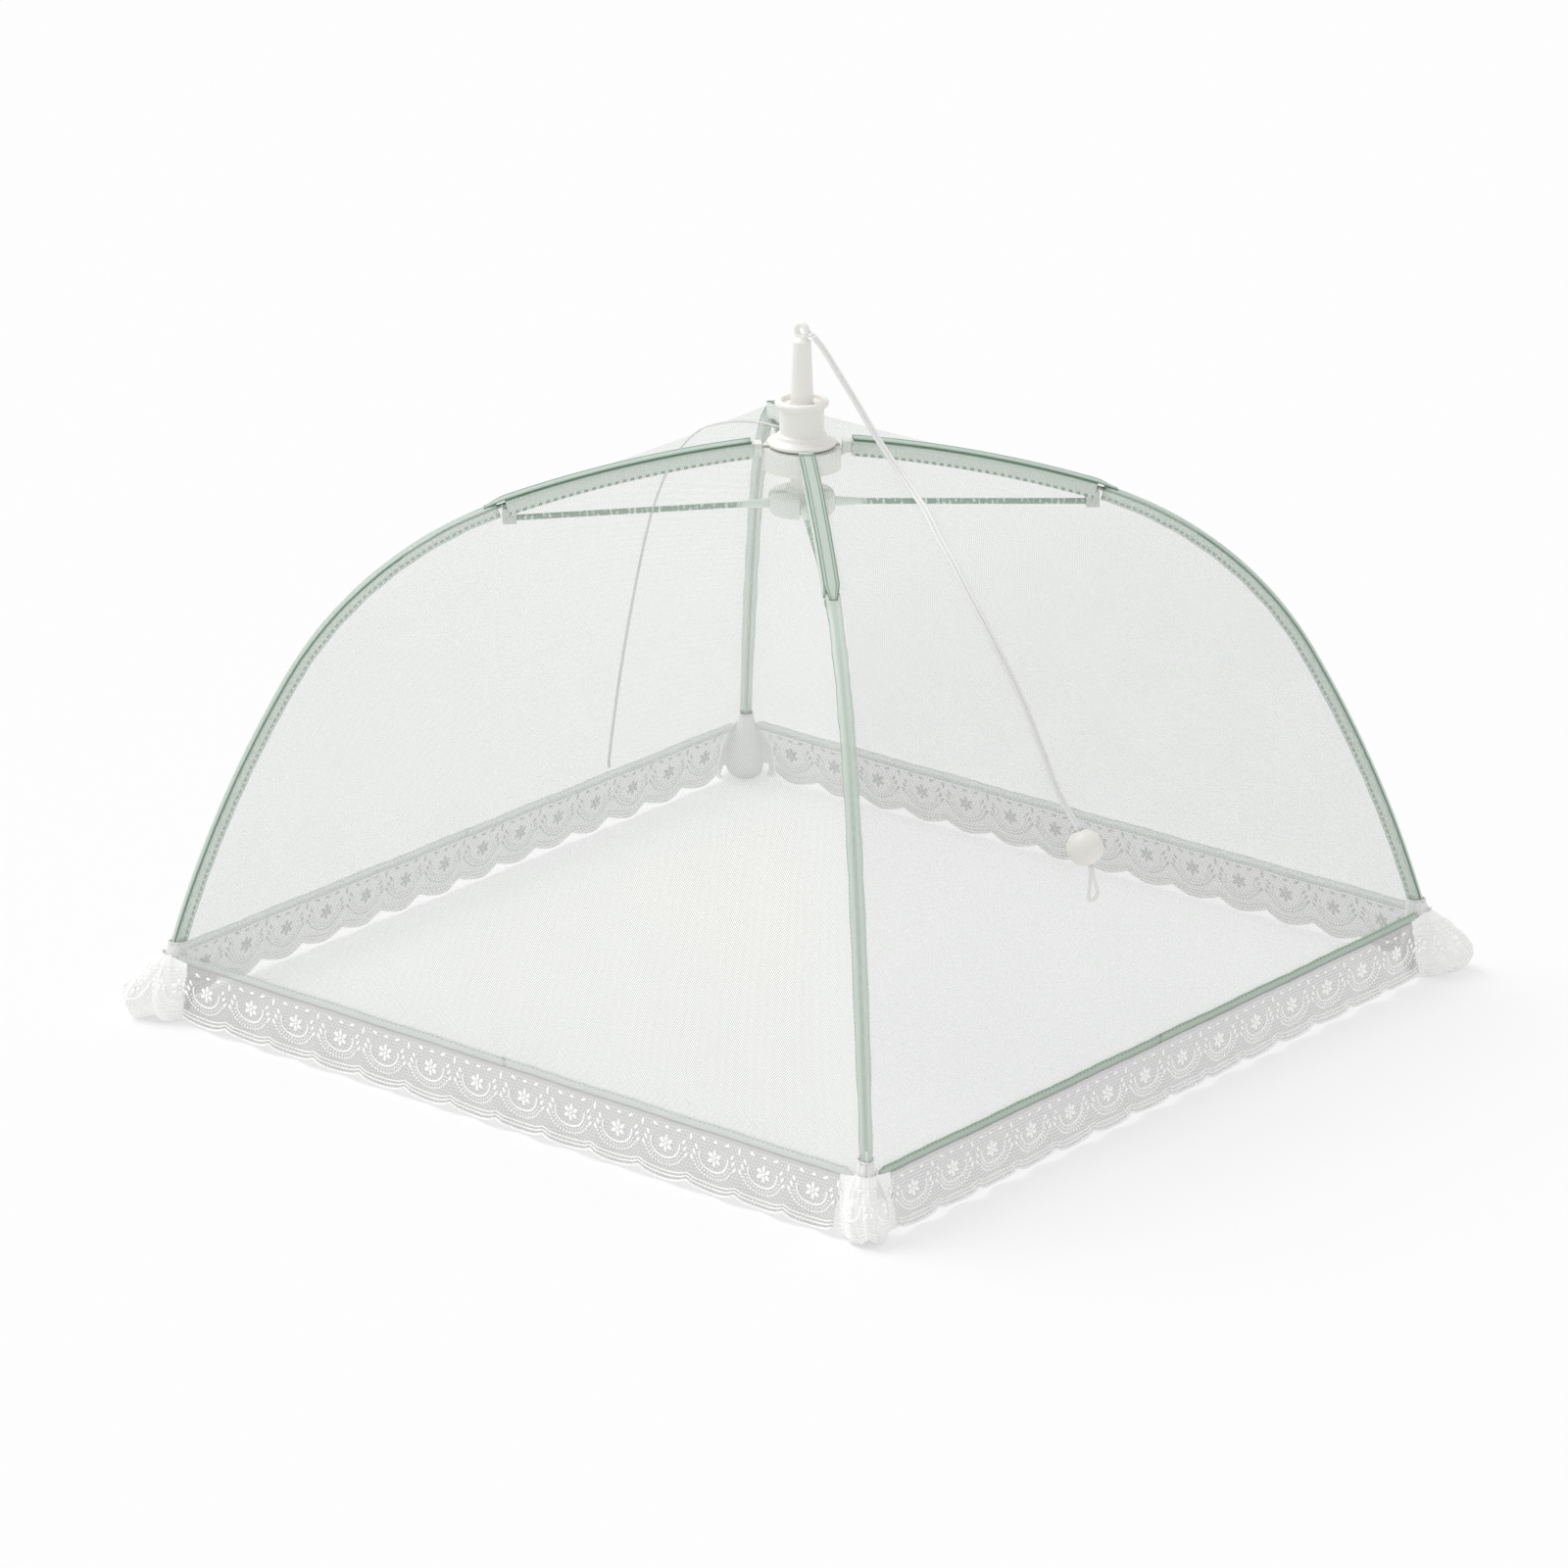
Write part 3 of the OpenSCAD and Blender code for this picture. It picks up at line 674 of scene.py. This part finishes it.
def add_hem(side, half, steps=64, sides=12):
    """Half a side's folded hem tape, slightly uneven."""
    patch = Patch()
    rows = []
    end = HEM_X - HEM_GAP * sqrt(2)
    for i in range(steps + 1):
        y = half * end * i / steps
        tip = 1.0 if i < steps else 0.55
        sway = 0.18 * sin(y * 0.11) + 0.10 * sin(y * 0.43 + 1.0)
        ring = []
        for j in range(sides):
            a = 2 * pi * j / sides
            c, s = cos(a), sin(a)
            dx = HEM_THICK * copysign(abs(c) ** 0.7, c) * tip
            dz = HEM_TALL * copysign(abs(s) ** 0.8, s) * tip
            point = on_side(side, HEM_X + dx + 0.15 * sway, y, HEM_Z + dz + sway)
            ring.append((point, (abs(y) * MM, dz * MM)))
        rows.append(ring)
    patch.closed(rows, turned=half > 0)
    # painted light and shade: one tape in two copies, the shaded sage copy on the front right side, which
    # faces away from the lamp, and the paler lit copy on the others
    tone = "hem_tape" if side == 0 else "hem_tape_lit_copy"
    obj = patch.make(f"hem_{half_name(side, half)}", tone)
    follow(obj, side, half)
    return obj


def lace_place(side):
    """Maps a distance along a side and a height to a point of its lace, with out millimetres outward."""
    ripple = settings().lace_ripple / MM
    pitch = LACE_END / settings().lace_repeats

    def place(y, z, out=0.0):
        drop = 1.0 - z / LACE_TOP
        waves = cos(2 * pi * y / pitch) + 0.45 * cos(5.1 * y / pitch + 0.8)
        wave_out = ripple * drop * waves
        return on_side(side, LACE_X + 4.2 * drop + wave_out + out, y, z)
    return place


def lace_edge(y, pitch):
    """Height of the lace's scalloped lower edge."""
    return 0.7 + 3.2 * (1.0 - abs(sin(pi * y / pitch)) ** 0.8)


def lace_motifs(patch, place, first, last, pitch, edge):
    """Cords, shells, flowers and leaves of one row of lace, from first to last along it."""
    count = max(1, round((last - first) / pitch))
    step = (last - first) / count
    cords = ((0.0, 0.46, 1.0), (2.0, 0.34, 0.9), (3.7, 0.30, 0.8))
    for level, radius, flatten in cords:
        path = []
        for i in range(count * 12 + 1):
            u = first + step * i / 12
            path.append(place(u, 0.8 + level + (edge(u) - 0.7) * flatten, 0.3))
        patch.tube(path, radius * MM, 5)
    # half width in steps, depth, dots in half, size of a dot, first and last angle
    shells = ((0.43, 8.6, 8, 0.62, 26, 154), (0.36, 7.2, 7, 0.5, 20, 160))
    for n in range(count):
        middle = first + step * (n + 0.5)
        for wide, deep, dots, size, low, high in shells:
            for i in range(2 * dots + 1):
                a = radians(180 + low + (high - low) * i / (2 * dots))
                patch.dome(place, middle + step * wide * cos(a), 17.0 + deep * 1.15 * sin(a), size,
                           size * 0.85, a, 0.55, 6)
        # a raised arc round the flower
        shell = []
        for i in range(15):
            a = radians(168 + 204 * i / 14)
            shell.append(place(middle + step * 0.30 * cos(a), 16.6 + 6.4 * sin(a), 0.35))
        patch.tube(shell, 0.42 * MM, 5)
        # the flower's petals and its middle
        for i in range(6):
            a = radians(90 + 60 * i)
            patch.dome(place, middle + 2.5 * cos(a), 16.0 + 2.3 * sin(a), 1.75, 1.0, a, 0.7, 8)
        patch.dome(place, middle, 16.0, 0.8, 0.8, 0.0, 0.9, 8)
        # leaves at both sides, and stitches above
        for sign in (-1, 1):
            for i in range(3):
                patch.dome(place, middle + sign * step * (0.37 + 0.035 * i), 19.2 - 2.5 * i, 1.5, 0.75,
                           radians(90 - sign * 38), 0.5, 8)
            patch.dome(place, middle + sign * step * 0.24, 23.4, 1.7, 0.7, 0.35 * sign, 0.45, 8)
        patch.dome(place, middle, 23.2, 1.5, 0.7, 0.0, 0.45, 8)
        patch.dome(place, middle + step * 0.5, 22.6, 0.8, 1.9, 0.0, 0.5, 8)


def add_lace(side, half, rows=14):
    """Half a side's lace: its net and, as a second piece, its stitches."""
    place = lace_place(side)
    repeats = settings().lace_repeats
    pitch = LACE_END / repeats
    columns = repeats * 14
    sheet = Patch()
    grid = []
    for i in range(rows + 1):
        share = i / rows
        row = []
        for j in range(columns + 1):
            y = half * LACE_END * j / columns
            low = lace_edge(y, pitch)
            z = LACE_TOP + (low - LACE_TOP) * share
            row.append((place(y, z), (y * MM, z * MM)))
        grid.append(row)
    sheet.grid(grid, turned=half > 0)
    tag = half_name(side, half)
    ground = sheet.make(f"lace_{tag}", "lace_ground")
    follow(ground, side, half)
    stitched = Patch()
    span = sorted((0.0, half * LACE_END))
    lace_motifs(stitched, place, span[0], span[1], pitch, lambda y: lace_edge(y, pitch))
    motifs = stitched.make(f"lace_stitches_{tag}", "lace_thread")
    follow(motifs, side, half)
    return ground


# ================= corners =================

# height and radius of a pocket, from its foot to the turned-in rim
POCKET_PROFILE = (
    (0.7, 2.0), (0.9, 5.0), (3.0, 7.7), (6.0, 8.6), (9.5, 8.9), (13.0, 8.6), (17.0, 7.9), (20.5, 7.1),
    (23.5, 6.3), (26.0, 5.7), (28.5, 5.2), (31.0, 4.8), (33.0, 4.5), (34.2, 4.1), (33.6, 3.4), (32.0, 2.6),
)


def add_pocket(corner, sides=48):
    """White cloth pocket sewn round the rib's tip, pinched at its neck."""
    patch = Patch()
    rows = []
    for z, radius in POCKET_PROFILE:
        neck_in = -2.4 * smooth((z - 20) / 14)
        narrow = 1 - 0.22 * smooth((z - 22) / 10)
        ring = []
        for j in range(sides):
            a = 2 * pi * j / sides
            crease = 0.07 * cos(3 * a + z * 0.16) + 0.035 * cos(8 * a - z * 0.3)
            r = radius * (1 + crease * min(1.0, z / 6))
            reach = POCKET_REACH + neck_in + r * cos(a)
            ring.append((on_rib(corner, reach, r * sin(a) * narrow, z), (radius * a * MM, z * MM)))
        rows.append(ring)
    first = patch.grid(rows, around=True)
    patch.cap(first, sides, turned=True)
    rim = [point for point, _ in rows[-3]]
    patch.tube(rim + rim[:1], 0.45 * MM, 6)
    # seven sewn creases below the neck
    for i in range(7):
        a = radians(-90 + 30 * i)
        stitch = [on_rib(corner, POCKET_REACH - 1.6 + (5.6 + 0.35 * k) * cos(a + 0.05 * k),
                         4.6 * sin(a + 0.05 * k), 27.4 + 0.9 * k) for k in range(4)]
        patch.tube(stitch, 0.22 * MM, 5)
    obj = patch.make(f"pocket_{CORNERS[corner]}", "pocket_cloth")
    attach(obj, f"rib_{CORNERS[corner]}")
    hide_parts(f"corner_pocket_{CORNERS[corner]}")


PUFF_SPREAD = radians(128)     # how far round a corner the gathered lace reaches, each way
PUFF_MEET = 1.5                     # from this angle on it leads over into the sides' lace


def puff_depth(corner):
    """How far the gathered lace stands out; the front corner's lies close round its pocket."""
    return settings().puff_radius / MM * (0.52 if corner == 0 else 1.0)


def puff_place(corner):
    """Maps a distance round a gathered corner and a height to a point of its lace."""
    deep = puff_depth(corner)
    wide = deep * (0.80 if corner == 0 else 0.60)
    folds = settings().puff_folds
    heights = (0.0, 2.5, 7.0, 12.0, 17.0, 21.5, 25.5, 29.2)
    belly = (0.72, 0.90, 1.0, 0.98, 0.84, 0.62, max(0.42, 5.6 / deep), 4.6 / deep)

    def place(u, z, out=0.0):
        turn = u / deep
        swell = float(np.interp(z, heights, belly))
        meet = smooth((abs(turn) - PUFF_MEET) / (PUFF_SPREAD - PUFF_MEET))
        drop = 1.0 - z / LACE_TOP
        crimp = 0.085 * cos(folds * turn + corner)
        crimp += 0.04 * cos(2.3 * folds * turn + z * 0.2 + corner)
        full = swell * (1 + crimp * (1 - meet) * (0.5 + 0.5 * drop))
        reach = deep * full * cos(turn)
        across = wide * (0.12 + 0.88 * full) * sin(min(abs(turn), 1.75)) * copysign(1.0, turn)
        side_x = LACE_X + 5.1 * drop
        side_y = LACE_END - 0.4
        reach = reach * (1 - meet) + ((side_x + side_y) / sqrt(2) - POCKET_REACH) * meet
        across = across * (1 - meet) + copysign((side_x - side_y) / sqrt(2), turn) * meet
        reach += out * cos(turn)
        across += out * sin(turn)
        height = z + 0.7 * cos(folds * turn) * (1 - meet) * drop
        return on_rib(corner, POCKET_REACH + reach, across, max(height, 0.5))
    return place


def add_puff(corner, rows=16, columns=150):
    """The lace gathered round a corner, between the ends of two sides."""
    place = puff_place(corner)
    reach = puff_depth(corner) * PUFF_SPREAD
    pitch = 2 * reach / (2 if corner == 0 else 4)
    sheet = Patch()
    grid = []
    for i in range(rows + 1):
        row = []
        for j in range(columns + 1):
            u = reach * (2 * j / columns - 1)
            low = lace_edge(u + reach, pitch)
            high = LACE_TOP + 2.2 * (1 - smooth((abs(u) / reach - 0.55) / 0.35))
            z = high + (low - high) * i / rows
            row.append((place(u, z), (u * MM, z * MM)))
        grid.append(row)
    sheet.grid(grid, turned=True)
    name = CORNERS[corner]
    ground = sheet.make(f"lace_puff_{name}", "puff_ground")
    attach(ground, f"rib_{name}")
    stitched = Patch()
    lace_motifs(stitched, place, -reach, reach, pitch, lambda u: lace_edge(u + reach, pitch))
    motifs = stitched.make(f"lace_puff_stitches_{name}", "lace_thread")
    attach(motifs, f"rib_{name}")


# ================= sleeves =================

# distance outward from the rib's curve and half width there, from the outer fold to the inner hem
SLEEVE_SECTION = (
    (2.9, 0.0), (2.84, 1.3), (2.6, 2.4), (2.1, 3.1), (1.2, 3.25), (0.2, 2.6), (-0.9, 1.5), (-1.7, 0.7),
    (-2.6, 0.42), (-3.5, 0.40), (-4.05, 0.22),
)
STRIP_SECTION = (
    (3.78, 3.3), (4.02, 3.52), (4.24, 3.3), (4.3, 1.6), (4.3, -1.6), (4.24, -3.3), (4.02, -3.52),
    (3.78, -3.3),
)
SLEEVE_STEPS = (40, 18)     # along the shoulder arc and the skirt arc
STRIP_STEPS = (24, 4)       # along the upper arc and into the shoulder arc


def sweep(patch, corner, run, section, shape, turned):
    """Sweeps a section along a rib; shape(n, length, off, half) gives a point's off, half and v."""
    rows = []
    length = 0.0
    last = None
    for n, (arc, angle) in enumerate(run):
        middle = rib_point(arc, angle)
        if last is not None:
            length += np.linalg.norm(middle - last)
        last = middle
        ring = []
        for base_off, base_half in section:
            off, half, v = shape(n, length, base_off, base_half)
            here = rib_point(arc, angle, off)
            ring.append((on_rib(corner, here[0], half, here[1]), (length * MM, v)))
        rows.append(ring)
    patch.closed(rows, turned=turned)


def add_sleeve(corner):
    """Cloth sleeve round a lower rib, running on as a strip over the upper one."""
    def sleeve_shape(n, length, off, half):
        slack = 1 + 0.05 * sin(length * 0.21) + 0.03 * sin(length * 0.57 + corner)
        slack *= 1 - 0.14 * smooth((n - 50) / 6)
        pull = 0.12 * sin(length * 0.33 + corner) if off < -1 else 0.0
        return off + pull, half * slack, off * MM

    def strip_shape(n, _, off, half):
        sink = smooth((n - STRIP_STEPS[0]) / STRIP_STEPS[1])
        edge = 0.0041 if abs(half) > 3.0 else 0.001
        return off - sink, half * (1.0 - 0.5 * sink), edge

    name = CORNERS[corner]
    patch = Patch()
    section = list(SLEEVE_SECTION) + [(off, -half) for off, half in SLEEVE_SECTION[:0:-1]]
    run = stations(1, DIP[1] + radians(1.4), DIP[2], SLEEVE_STEPS[0])
    run += stations(2, DIP[2], DIP[3] + radians(0.45), SLEEVE_STEPS[1], 1)
    sweep(patch, corner, run, section, sleeve_shape, True)
    strip_from = asin(sin(DIP[0]) + 6.3 / RADII[0])
    run = stations(0, strip_from, DIP[1], STRIP_STEPS[0])
    run += stations(1, DIP[1], DIP[1] + radians(3.2), STRIP_STEPS[1], 1)
    sweep(patch, corner, run, STRIP_SECTION, strip_shape, False)
    obj = patch.make(f"sleeve_{name}", "sleeve_cloth")
    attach(obj, f"rib_{name}")
    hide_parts(f"rib_sleeve_{name}")


# across the strip and outward from the netting
SEAM_SECTION = ((-1.0, 0.25), (-0.8, 0.75), (0.0, 0.95), (0.8, 0.75), (1.0, 0.25), (0.0, 0.2))


def add_closing_seam():
    """Narrow sewn strip that closes the netting, on the back left side."""
    profile = face_profile()[4:-2]
    patch = Patch()
    rows = []
    length = 0.0
    for i, (x, z) in enumerate(profile):
        if i:
            length += np.linalg.norm(profile[i] - profile[i - 1])
        y = -0.5 * x
        before = profile[max(i - 1, 0)]
        after = profile[min(i + 1, len(profile) - 1)]
        slope = (after - before) / np.linalg.norm(after - before)
        out = np.array([-slope[1], slope[0]])
        share = length / 360.0
        sag = NET_SAG * sin(pi * min(share, 1.0)) ** 2 * 0.72
        ring = []
        for dy, lift in SEAM_SECTION:
            ring.append((on_side(2, x + out[0] * lift - sag, y + dy * 0.9, z + out[1] * lift - sag * 0.6),
                         (length * MM, dy * MM)))
        rows.append(ring)
    patch.closed(rows)
    obj = patch.make("closing_seam_strip", "seam_tape")
    follow(obj, 2, -1)
    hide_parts("closing_seam")


# ================= pull cord =================

CORD_RUN = [
    (6.3, 0, 311), (12, 1, 305), (20, 1, 296), (29, 1, 286), (39, 0, 275.5), (49, -1, 266),
    (59, -3, 258.5), (70, -7, 252.5), (82, -13, 247), (94, -20, 240.5), (106, -26, 234),
    (117.5, -31, 225.5), (129, -34.5, 215.5), (139.5, -36.5, 204), (150, -37, 190),
    (158.5, -37, 175.5), (166, -36.5, 160.5), (171.5, -36, 148.5), (177.5, -35.5, 139.5),
    (184, -35.5, 131.7), (187.4, -35.5, 124), (190.8, -35.5, 116.3), (191.6, -35.5, 112),
]
CORD_RADIUS = 0.8
STRAND_OFF = 0.95       # each strand, sideways from the cord's middle line
LOOP_CENTRE = (192.2, -35.5, 104.2)
LOOP_HALF = 3.2
KNOT_HEIGHT = 311.4


def strand(side):
    """One of the cord's two strands, beside its middle line."""
    run = [Vector(p) for p in CORD_RUN]
    points = []
    for i, here in enumerate(run):
        tangent = run[min(i + 1, len(run) - 1)] - run[max(i - 1, 0)]
        points.append(here + tangent.cross(Vector((0, 0, 1))).normalized() * (side * STRAND_OFF))
    return points


def eased(points, steps=4):
    """The same points with a smooth curve through them."""
    path = []
    for i in range(len(points) - 1):
        p0 = points[max(i - 1, 0)]
        p1, p2 = points[i], points[i + 1]
        p3 = points[min(i + 2, len(points) - 1)]
        for n in range(steps):
            t = n / steps
            path.append(0.5 * (2 * p1 + (p2 - p0) * t + (2 * p0 - 5 * p1 + 4 * p2 - p3) * t * t
                               + (3 * p1 - p0 - 3 * p2 + p3) * t ** 3))
    return path + [points[-1]]


def cord_path():
    """Down one strand, round the end loop and back up the other, in metres."""
    centre = Vector(LOOP_CENTRE)
    turns = [centre + Vector((0, -cos(a), -sin(a))) * LOOP_HALF
             for a in (radians(30 * i) for i in range(7))]
    return [p * MM for p in eased(strand(1) + turns + strand(-1)[::-1])]


def add_cord():
    """The cord's free run, which is held by the crown."""
    path = cord_path()
    patch = Patch()
    patch.tube(path, CORD_RADIUS * MM, 10)
    obj = patch.make("cord", "cord_thread")
    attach(obj, "crown")
    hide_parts("pull_cord")
    return obj, path


def add_cord_lead(path):
    """The cord's two ends between its first free point and the knot."""
    patch = Patch()
    starts = (path[0], path[-1])
    knot = Vector((3.4, 0.0, KNOT_HEIGHT)) * MM
    for start in starts:
        points = [start.lerp(knot, i / 16) for i in range(17)]
        patch.tube(points, CORD_RADIUS * MM, 10)
    obj = patch.make("cord_lead", "cord_thread")
    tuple(starts[0])
    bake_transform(obj)
    return obj


def add_knot():
    """The cord tied through the rod's eye."""
    patch = Patch()
    points = []
    for i in range(97):
        a = 2 * pi * i / 96
        radius = 0.95 + 0.42 * cos(3 * a)
        points.append(Vector((3.35 + radius * cos(2 * a), radius * sin(2 * a) * 0.9,
                              KNOT_HEIGHT + 0.75 * sin(3 * a))) * MM)
    patch.tube(points, 0.66 * MM, 8)
    obj = patch.make("cord_tie", "cord_thread")
    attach(obj, "plunger")
    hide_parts("cord_knot")
    return obj


# ================= operators =================

CAMERA_TURN = radians(39.61)
CAMERA_RISE = radians(20.06)
CAMERA_DISTANCE = 3.5
CAMERA_LENS = 178.67
CAMERA_ASIDE = -0.0079      # where it looks: sideways from the cover's axis, and above the table
CAMERA_LEVEL = 0.0996


class COVER_OT_camera(bpy.types.Operator):
    """Adds the camera that looks at the cover's front corner from a little above"""
    bl_idname = "cover.camera"
    bl_label = "Camera"

    def execute(self, context):
        turn, rise = CAMERA_TURN, CAMERA_RISE
        right = Vector((cos(turn), sin(turn), 0))
        back = Vector((sin(turn) * cos(rise), -cos(turn) * cos(rise), sin(rise)))
        up = back.cross(right)
        target = right * CAMERA_ASIDE + Vector((0, 0, CAMERA_LEVEL))
        data = bpy.data.cameras.new("camera")
        data.lens = CAMERA_LENS
        data.sensor_width = 36
        data.clip_end = 100
        camera = bpy.data.objects.new("camera", data)
        context.scene.collection.objects.link(camera)
        turned = Matrix((right, up, back)).transposed().to_4x4()
        camera.matrix_world = Matrix.Translation(target + back * CAMERA_DISTANCE) @ turned
        context.scene.camera = camera
        return {"FINISHED"}


class COVER_OT_finishes(bpy.types.Operator):
    """Makes the plastic, metal, net, lace and cord materials"""
    bl_idname = "cover.finishes"
    bl_label = "Materials"

    def execute(self, context):
        s = settings()
        ivory, mint, deep, sage, white = (tuple(c) for c in (s.ivory, s.mint, s.deep_green, s.sage, s.white))
        net_white = tuple(c * t for c, t in zip(white, (0.915, 0.945, 0.925)))
        pocket_white = tuple(min(c * 1.02, 0.96) for c in white)
        made = {
            "ivory": moulded("Ivory plastic", ivory),
            "bead": moulded("Bead plastic", (0.90, 0.88, 0.83), 0.8, 0.42, Coat_Weight=0.15),
            "bracket": moulded("Bracket plastic", (0.86, 0.885, 0.84), 0.8, 0.38),
            "rib": rib_plastic("Clear rib plastic", mint, deep),
            "stretcher": speckled("Coated stretcher", mint, deep, 430.0, 0.56),
            "wire": speckled("Coated wire", toned(sage, 0.8), deep, 500.0, 0.45),
            "steel": polished_pin("Plated steel"),
            "netting": netting("Fine white net", net_white, s.net_pitch, s.net_thread, s.net_open),
            "sleeve_cloth": sleeve_cloth("Mint sleeve", mint, deep),
            # the hem tape in two copies: sage as painted shade, pale as painted light
            "hem_tape": tape_cloth("Sage hem tape, shaded copy", sage, deep, 0.86),
            "hem_tape_lit_copy": tape_cloth("Pale hem tape, lit copy", (0.91, 0.945, 0.915), toned(sage, 0.5), 0.40),
            # the side lace's net is greyed to 0.60 as painted shade
            "lace_ground": lace_ground("Lace net with painted shade", white, 0.36, 0.60),
            # painted light: the gathered lace net glows
            "puff_ground": lace_ground("Gathered lace net with painted glow", white, 0.90, 1.0, glow=0.12),
            # painted light: the lace thread glows
            "lace_thread": thread("Lace thread with painted glow", (0.97, 0.97, 0.965), 0.0007, glow=0.16),
            "pocket_cloth": plain_cloth("White pocket cloth", pocket_white, 0.0007),
            "seam_tape": tape_cloth("Seam tape", toned(white, 0.95), sage, 0.75),
            "cord_thread": thread("Twisted white cord", white, 0.0016, 1.4),
        }
        FINISHES.update(made)
        return {"FINISHED"}


class COVER_OT_cord(bpy.types.Operator):
    """Adds the doubled pull cord, its knot and its ends"""
    bl_idname = "cover.cord"
    bl_label = "Pull Cord"

    def execute(self, context):
        cord, path = add_cord()
        lead = add_cord_lead(path)
        knot = add_knot()
        tuple(path[0])
        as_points(path)
        return {"FINISHED"}


class COVER_OT_netting(bpy.types.Operator):
    """Adds the four net panels, each in two halves that follow their ribs, and the closing seam"""
    bl_idname = "cover.netting"
    bl_label = "Netting"

    def execute(self, context):
        for side in range(4):
            halves = [add_netting(side, half) for half in (-1, 1)]
            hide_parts(f"mesh_panel_{SIDES[side]}")
        add_closing_seam()
        return {"FINISHED"}


class COVER_OT_hem(bpy.types.Operator):
    """Adds the hem tape and the lace below it on all four sides"""
    bl_idname = "cover.hem"
    bl_label = "Hem and Lace"

    def execute(self, context):
        for side in range(4):
            for half in (-1, 1):
                tape = add_hem(side, half)
                lace = add_lace(side, half)
                if half < 0:
                    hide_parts(f"hem_tape_{SIDES[side]}")
                    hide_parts(f"lace_skirt_{SIDES[side]}")
        return {"FINISHED"}


class COVER_OT_corners(bpy.types.Operator):
    """Adds the cloth pockets and the gathered lace at the four corners"""
    bl_idname = "cover.corners"
    bl_label = "Corner Pockets"

    def execute(self, context):
        for corner in range(4):
            add_pocket(corner)
            add_puff(corner)
        return {"FINISHED"}


class COVER_OT_sleeves(bpy.types.Operator):
    """Adds the cloth sleeve of each rib"""
    bl_idname = "cover.sleeves"
    bl_label = "Rib Sleeves"

    def execute(self, context):
        for corner in range(4):
            add_sleeve(corner)
        return {"FINISHED"}


NODE_FINISHES = {
    "crown_cap": "ivory", "notch_ring": "ivory", "plunger_rod": "ivory", "runner_hub": "bracket",
    "rib_hinge_pins": "steel", "cord_bead": "bead", "rib_bracket": "bracket", "lower_rib_wire": "wire",
    "joint_clip": "steel", "joint_rivet": "steel", "rib_tip": "ivory", "stretcher": "stretcher",
    "upper_rib": "rib",
}


class COVER_OT_frame(bpy.types.Operator):
    """Gives the crown, plunger, ribs, stretchers and joints their materials"""
    bl_idname = "cover.frame"
    bl_label = "Frame Materials"

    def execute(self, context):
        for name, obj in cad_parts.items():
            stem = name
            for corner in CORNERS:
                stem = stem.removesuffix(f"_{corner}")
            if stem in NODE_FINISHES:
                for held in obj.material_slots:
                    held.material = finish(NODE_FINISHES[stem])
        return {"FINISHED"}


FLOOR_GLOW = 0.50       # share of the floor that shines evenly, where the camera sees it
FLOOR_DROP = 0.0006     # keeps the floor clear of the lace and pockets that stand on it


def stage_shader(name, colour):
    """Pale floor that the camera sees near white, while it keeps the object's shadow."""
    material = bpy.data.materials.new(name)
    n = Nodes(material)
    matt = n.node("ShaderNodeBsdfDiffuse", {}, {"Color": (*colour, 1)})
    glow = n.node("ShaderNodeEmission", {}, {"Strength": 1.0})
    mixed = n.node("ShaderNodeMixShader", {}, {0: n.seen() * FLOOR_GLOW, 1: matt, 2: glow})
    n.node("ShaderNodeOutputMaterial", {}, {"Surface": mixed})
    return material


class COVER_OT_stage(bpy.types.Operator):
    """Adds the pale floor, the soft lamp and the white surroundings"""
    bl_idname = "cover.stage"
    bl_label = "Stage"

    def execute(self, context):
        s = settings()
        bpy.ops.object.select_all(action="DESELECT")
        bpy.ops.mesh.primitive_plane_add(size=60, location=(0, 0, -FLOOR_DROP))
        floor = context.object
        floor.name = "floor"
        floor.data.materials.append(stage_shader("Pale floor", (0.93, 0.93, 0.93)))
        floor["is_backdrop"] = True
        lamp = bpy.data.lights.new("soft_lamp", "SUN")
        lamp.energy = s.lamp_level
        lamp.angle = radians(38)
        lamp_obj = bpy.data.objects.new("soft_lamp", lamp)
        context.scene.collection.objects.link(lamp_obj)
        lamp_obj.rotation_euler = Vector((-0.86, -0.18, 1.25)).to_track_quat("Z", "Y").to_euler()
        world = bpy.data.worlds.new("surroundings")
        context.scene.world = world
        n = Nodes(world)
        even = n.node("ShaderNodeBackground", {}, {"Strength": s.sky_level, "Color": (1, 1, 1, 1)})
        bright = n.node("ShaderNodeBackground", {}, {"Strength": 1.0, "Color": (1, 1, 1, 1)})
        mixed = n.node("ShaderNodeMixShader", {}, {0: n.seen(), 1: even, 2: bright})
        n.node("ShaderNodeOutputWorld", {}, {"Surface": mixed})
        context.scene.view_settings.view_transform = "Standard"
        return {"FINISHED"}


OPERATORS = (
    COVER_OT_camera, COVER_OT_finishes, COVER_OT_cord, COVER_OT_netting, COVER_OT_hem,
    COVER_OT_corners, COVER_OT_sleeves, COVER_OT_frame, COVER_OT_stage,
)


class COVER_PT_panel(bpy.types.Panel):
    bl_label = "Mesh Cover"
    bl_space_type = "VIEW_3D"
    bl_region_type = "UI"
    bl_category = "Cover"

    def draw(self, context):
        for name in CoverSettings.__annotations__:
            self.layout.prop(context.scene.cover_settings, name)
        for kind in OPERATORS:
            self.layout.operator(kind.bl_idname)


CLASSES = (CoverSettings, *OPERATORS, COVER_PT_panel)


def register():
    for kind in CLASSES:
        bpy.utils.register_class(kind)
    bpy.types.Scene.cover_settings = bpy.props.PointerProperty(type=CoverSettings)


def unregister():
    del bpy.types.Scene.cover_settings
    for kind in reversed(CLASSES):
        bpy.utils.unregister_class(kind)


def main():
    register()
    bpy.ops.object.select_all(action="DESELECT")
    for kind in OPERATORS:
        section, step = kind.bl_idname.split(".")
        getattr(getattr(bpy.ops, section), step)()
    plain = [[list(map(float, corner)) for corner in box] for box in (CAD_BOX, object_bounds())]


if __name__ == "__main__":
    main()
